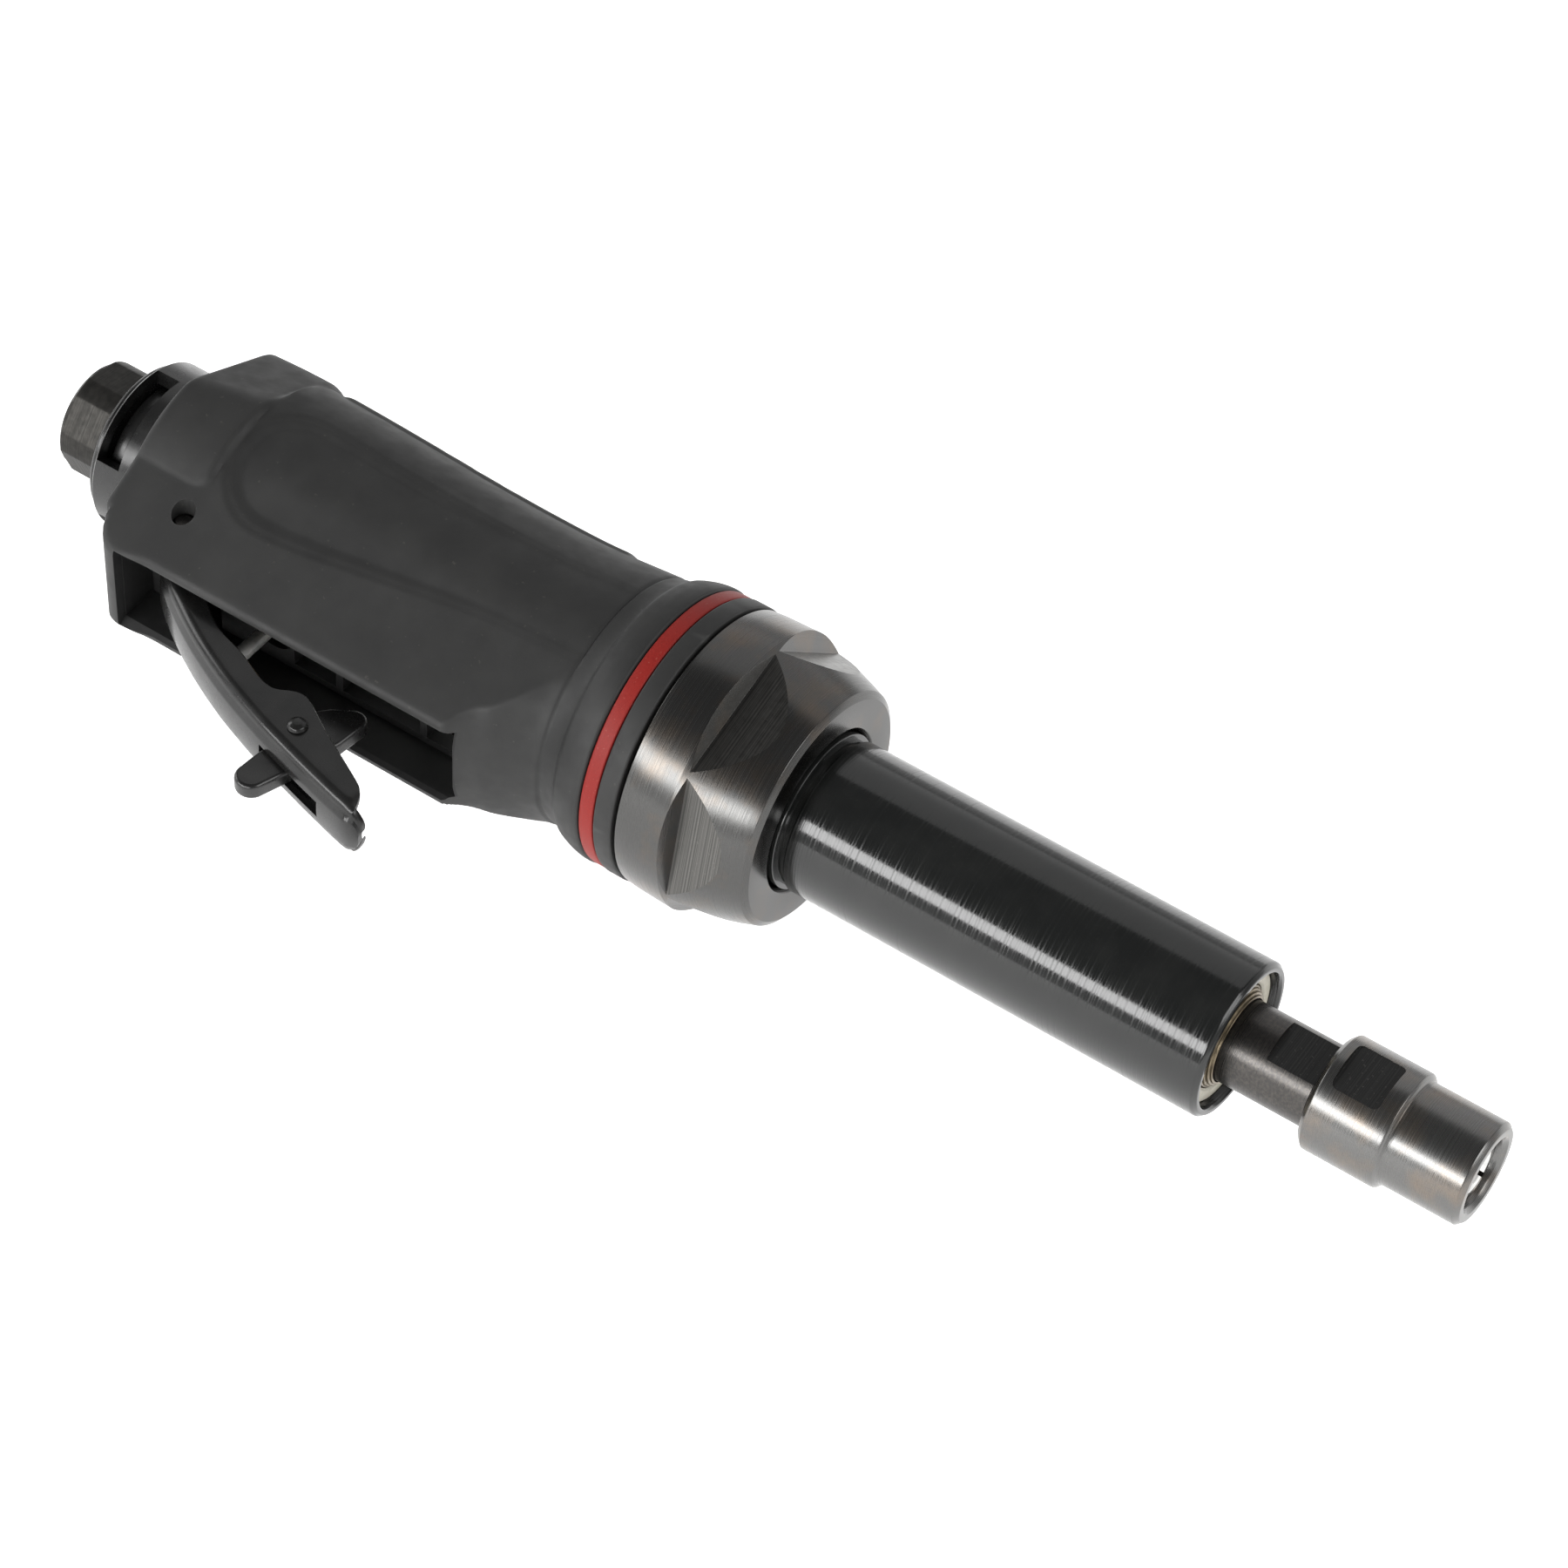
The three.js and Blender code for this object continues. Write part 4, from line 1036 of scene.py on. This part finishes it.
def spline(points, per_span=10):
    """Catmull-Rom curve through 2-D points."""
    points = np.array([points[0], *points, points[-1]], float)
    result = []
    for i in range(1, len(points) - 2):
        a, b, c, d = points[i - 1 : i + 3]
        for k in range(per_span):
            t = k / per_span
            square, cube = 2 * a - 5 * b + 4 * c - d, 3 * b - a - 3 * c + d
            result.append(0.5 * (2 * b + (c - a) * t + square * t**2 + cube * t**3))
    return np.array([*result, points[-2]])


def reach_to(origin, direction, outline):
    """Distance along a ray to an outline, or 0 where it misses."""
    best = 0.0
    for (ax, ay), (bx, by) in zip(outline[:-1], outline[1:]):
        ex, ey = bx - ax, by - ay
        across = direction[0] * ey - direction[1] * ex
        if abs(across) < 1e-9:
            continue
        t = ((ax - origin[0]) * ey - (ay - origin[1]) * ex) / across
        u = ((ax - origin[0]) * direction[1] - (ay - origin[1]) * direction[0]) / across
        if t > 0 and 0 <= u <= 1 and (best == 0 or t < best):
            best = t
    return best


def lever_section(height, half, bend, crown):
    """Outer and inner lines of the channel: (distance from the web's outer face, z), flange to flange."""
    turns = np.radians(np.linspace(0, 90, 6))
    web = np.linspace(1, -1, 13)[1:-1] * (half - bend)

    def line(inset):
        radius = max(bend - inset, 0.25)
        side = half - inset
        rise = np.linspace(height, max(bend, inset + radius), 6)
        flange = [(h, side) for h in rise]
        corner = [
            (inset + radius - radius * math.sin(a), side - radius + radius * math.cos(a)) for a in turns[1:]
        ]
        middle = [(inset - crown * (1 - (z / half) ** 2), z) for z in web]
        left = flange + corner
        return left + middle + [(n, -z) for n, z in reversed(left)]

    return line(0.0), line(SHEET)


def make_lever():
    path = spline(WEB)
    tangent = np.gradient(path, axis=0)
    tangent /= np.linalg.norm(tangent, axis=1)[:, None]
    normal = np.stack([-tangent[:, 1], tangent[:, 0]], axis=1)
    edge = spline(FLANGE, 5)
    length = np.concatenate([[0], np.cumsum(np.linalg.norm(np.diff(path, axis=0), axis=1))])
    rows = []
    for point, out, travelled in zip(path, normal, length):
        to_tip = length[-1] - travelled
        height = max(reach_to(point, out, edge), SHEET * 1.02)
        bend = min(BEND, max(height - 0.05, SHEET))
        narrow = math.sqrt(max(1 - (1 - min(to_tip / TONGUE, 1)) ** 2, 0.02))
        half = LEVER_WIDTH * (1 - (1 - narrow) * 0.75)
        outer, inner = lever_section(height, half, bend, CROWN)
        rim = [(height + 0.28, half - 0.35), (height + 0.28, half - SHEET + 0.35)]
        loop = [(n, z) for n, z in outer] + [(n, -z) for n, z in rim]
        loop += [(n, z) for n, z in reversed(inner)] + [(n, z) for n, z in reversed(rim)]
        rows.append([(*(point + out * n), z) for n, z in loop])
    columns = len(rows[0])
    faces = grid_faces(len(rows), columns, False, True)
    count = len(outer)
    for end in (0, len(rows) - 1):
        for k in range(count - 1):
            a, b = k, k + 1
            c, d = count + 2 + (count - 1 - (k + 1)), count + 2 + (count - 1 - k)
            faces.append(tuple(end * columns + i for i in (a, b, c, d)))
        base = end * columns
        faces.append((base + count - 1, base + count, base + count + 1, base + count + 2))
        faces.append((base + 2 * count + 1, base + 2 * count + 2, base + 2 * count + 3, base))
    lever = new_object("lever_pressing", to_row(rows).reshape(-1, 3), faces)
    finish_mesh(lever.data)
    slot = plate("lock_slot", [(-58.2, -1.8), (-42.0, -1.8), (-42.0, 1.8), (-58.2, 1.8)], -6, 6, 0)
    turn = Matrix.Rotation(math.radians(90), 4, "X")
    slope = Matrix.Rotation(math.radians(-15.8), 4, "Z")
    to_lever = Matrix.Translation(at(-50, -47.2))
    slot.data.transform(to_lever @ slope @ turn @ Matrix.Translation(-at(-50)))
    cut(lever, slot)
    level_normals(lever)
    return stand_for(lever, "throttle_lever")


make_lever()


def make_lock():
    outline = arc(-55, -51.4, 2.9, 167, 347, 14)
    outline += [(-50.6, -47.5), (-49.6, -43), (-47.6, -37.2)]
    outline += arc(-49.3, -31.6, 2.4, -20, 118, 9)
    outline += [(-53.8, -31.6), (-56.4, -34.4), (-57.1, -38.2), (-57.2, -44.0)]
    lock = plate("lock_plate", outline, -1.6, 1.6, 0.75)
    level_normals(lock)
    return stand_for(lock, "safety_lock")


make_lock()

RIVET = (-53, -41.5)
rivet_profile = rounded([
    (-7.2, 0.01), (-7.15, 0.8, 0.4), (-6.8, 1.5, 0.4), (-6.1, 1.9, 0.2),
    (-6.0, 1.3), (6.0, 1.3), (6.1, 1.9, 0.2),
    (6.8, 1.5, 0.4), (7.15, 0.8, 0.4), (7.2, 0.01),
], closed=False)
stand_for(spun_across("lock_rivet", rivet_profile, *RIVET), "safety_lock_rivet")

pin_profile = rounded([
    (-12.6, 0.01), (-12.6, 1.45), (-12.3, 1.75, 0.1), (12.3, 1.75, 0.1), (12.6, 1.45), (12.6, 0.01),
], closed=False)
stand_for(spun_across("pivot_pin", pin_profile, *PIVOT), "lever_pivot_pin", look=SPINDLE_LOOK)

stem_profile = rounded([
    (-36.2, 0.01), (-36.2, 0.9), (-35.6, 1.4, 0.3), (1.2, 1.4),
    (1.2, 4.2), (3.2, 4.2), (3.2, 1.6), (5.5, 1.6),
    (5.5, 0.01),
], closed=False)
# The stem wears the lightened steel: painted light for a rod that sits in shade.
stand_for(spun_upright("valve_rod", stem_profile, VALVE_X), "valve_stem", look=STEM_PAINTED_LIGHT_LOOK)

SPRING_REAR, SPRING_FRONT = 3.6, 12.7
SPRING_RADIUS = 3.1
WIRE = 0.35
SPRING_TURNS = 4.4


def make_valve_spring():
    """A wound wire coil for the valve spring, on a mesh of its own."""
    count, around = 140, 10
    points = []
    for i in range(count + 1):
        t = i / count
        turn = 2 * math.pi * SPRING_TURNS * t
        y = SPRING_REAR + WIRE + (SPRING_FRONT - SPRING_REAR - 2 * WIRE) * smoothstep(-0.08, 1.08, t)
        for k in range(around):
            a = 2 * math.pi * k / around
            r = SPRING_RADIUS + WIRE * math.cos(a)
            points.append((VALVE_X + r * math.cos(turn), y + WIRE * math.sin(a), r * math.sin(turn)))
    faces = grid_faces(count + 1, around, False, True)
    faces += [tuple(range(around)), tuple(range((count + 1) * around - 1, count * around - 1, -1))]
    coil = new_object("valve_coil", to_row(points), faces)
    finish_mesh(coil.data)
    stand_for(coil, "valve_spring")
    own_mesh(coil)


make_valve_spring()
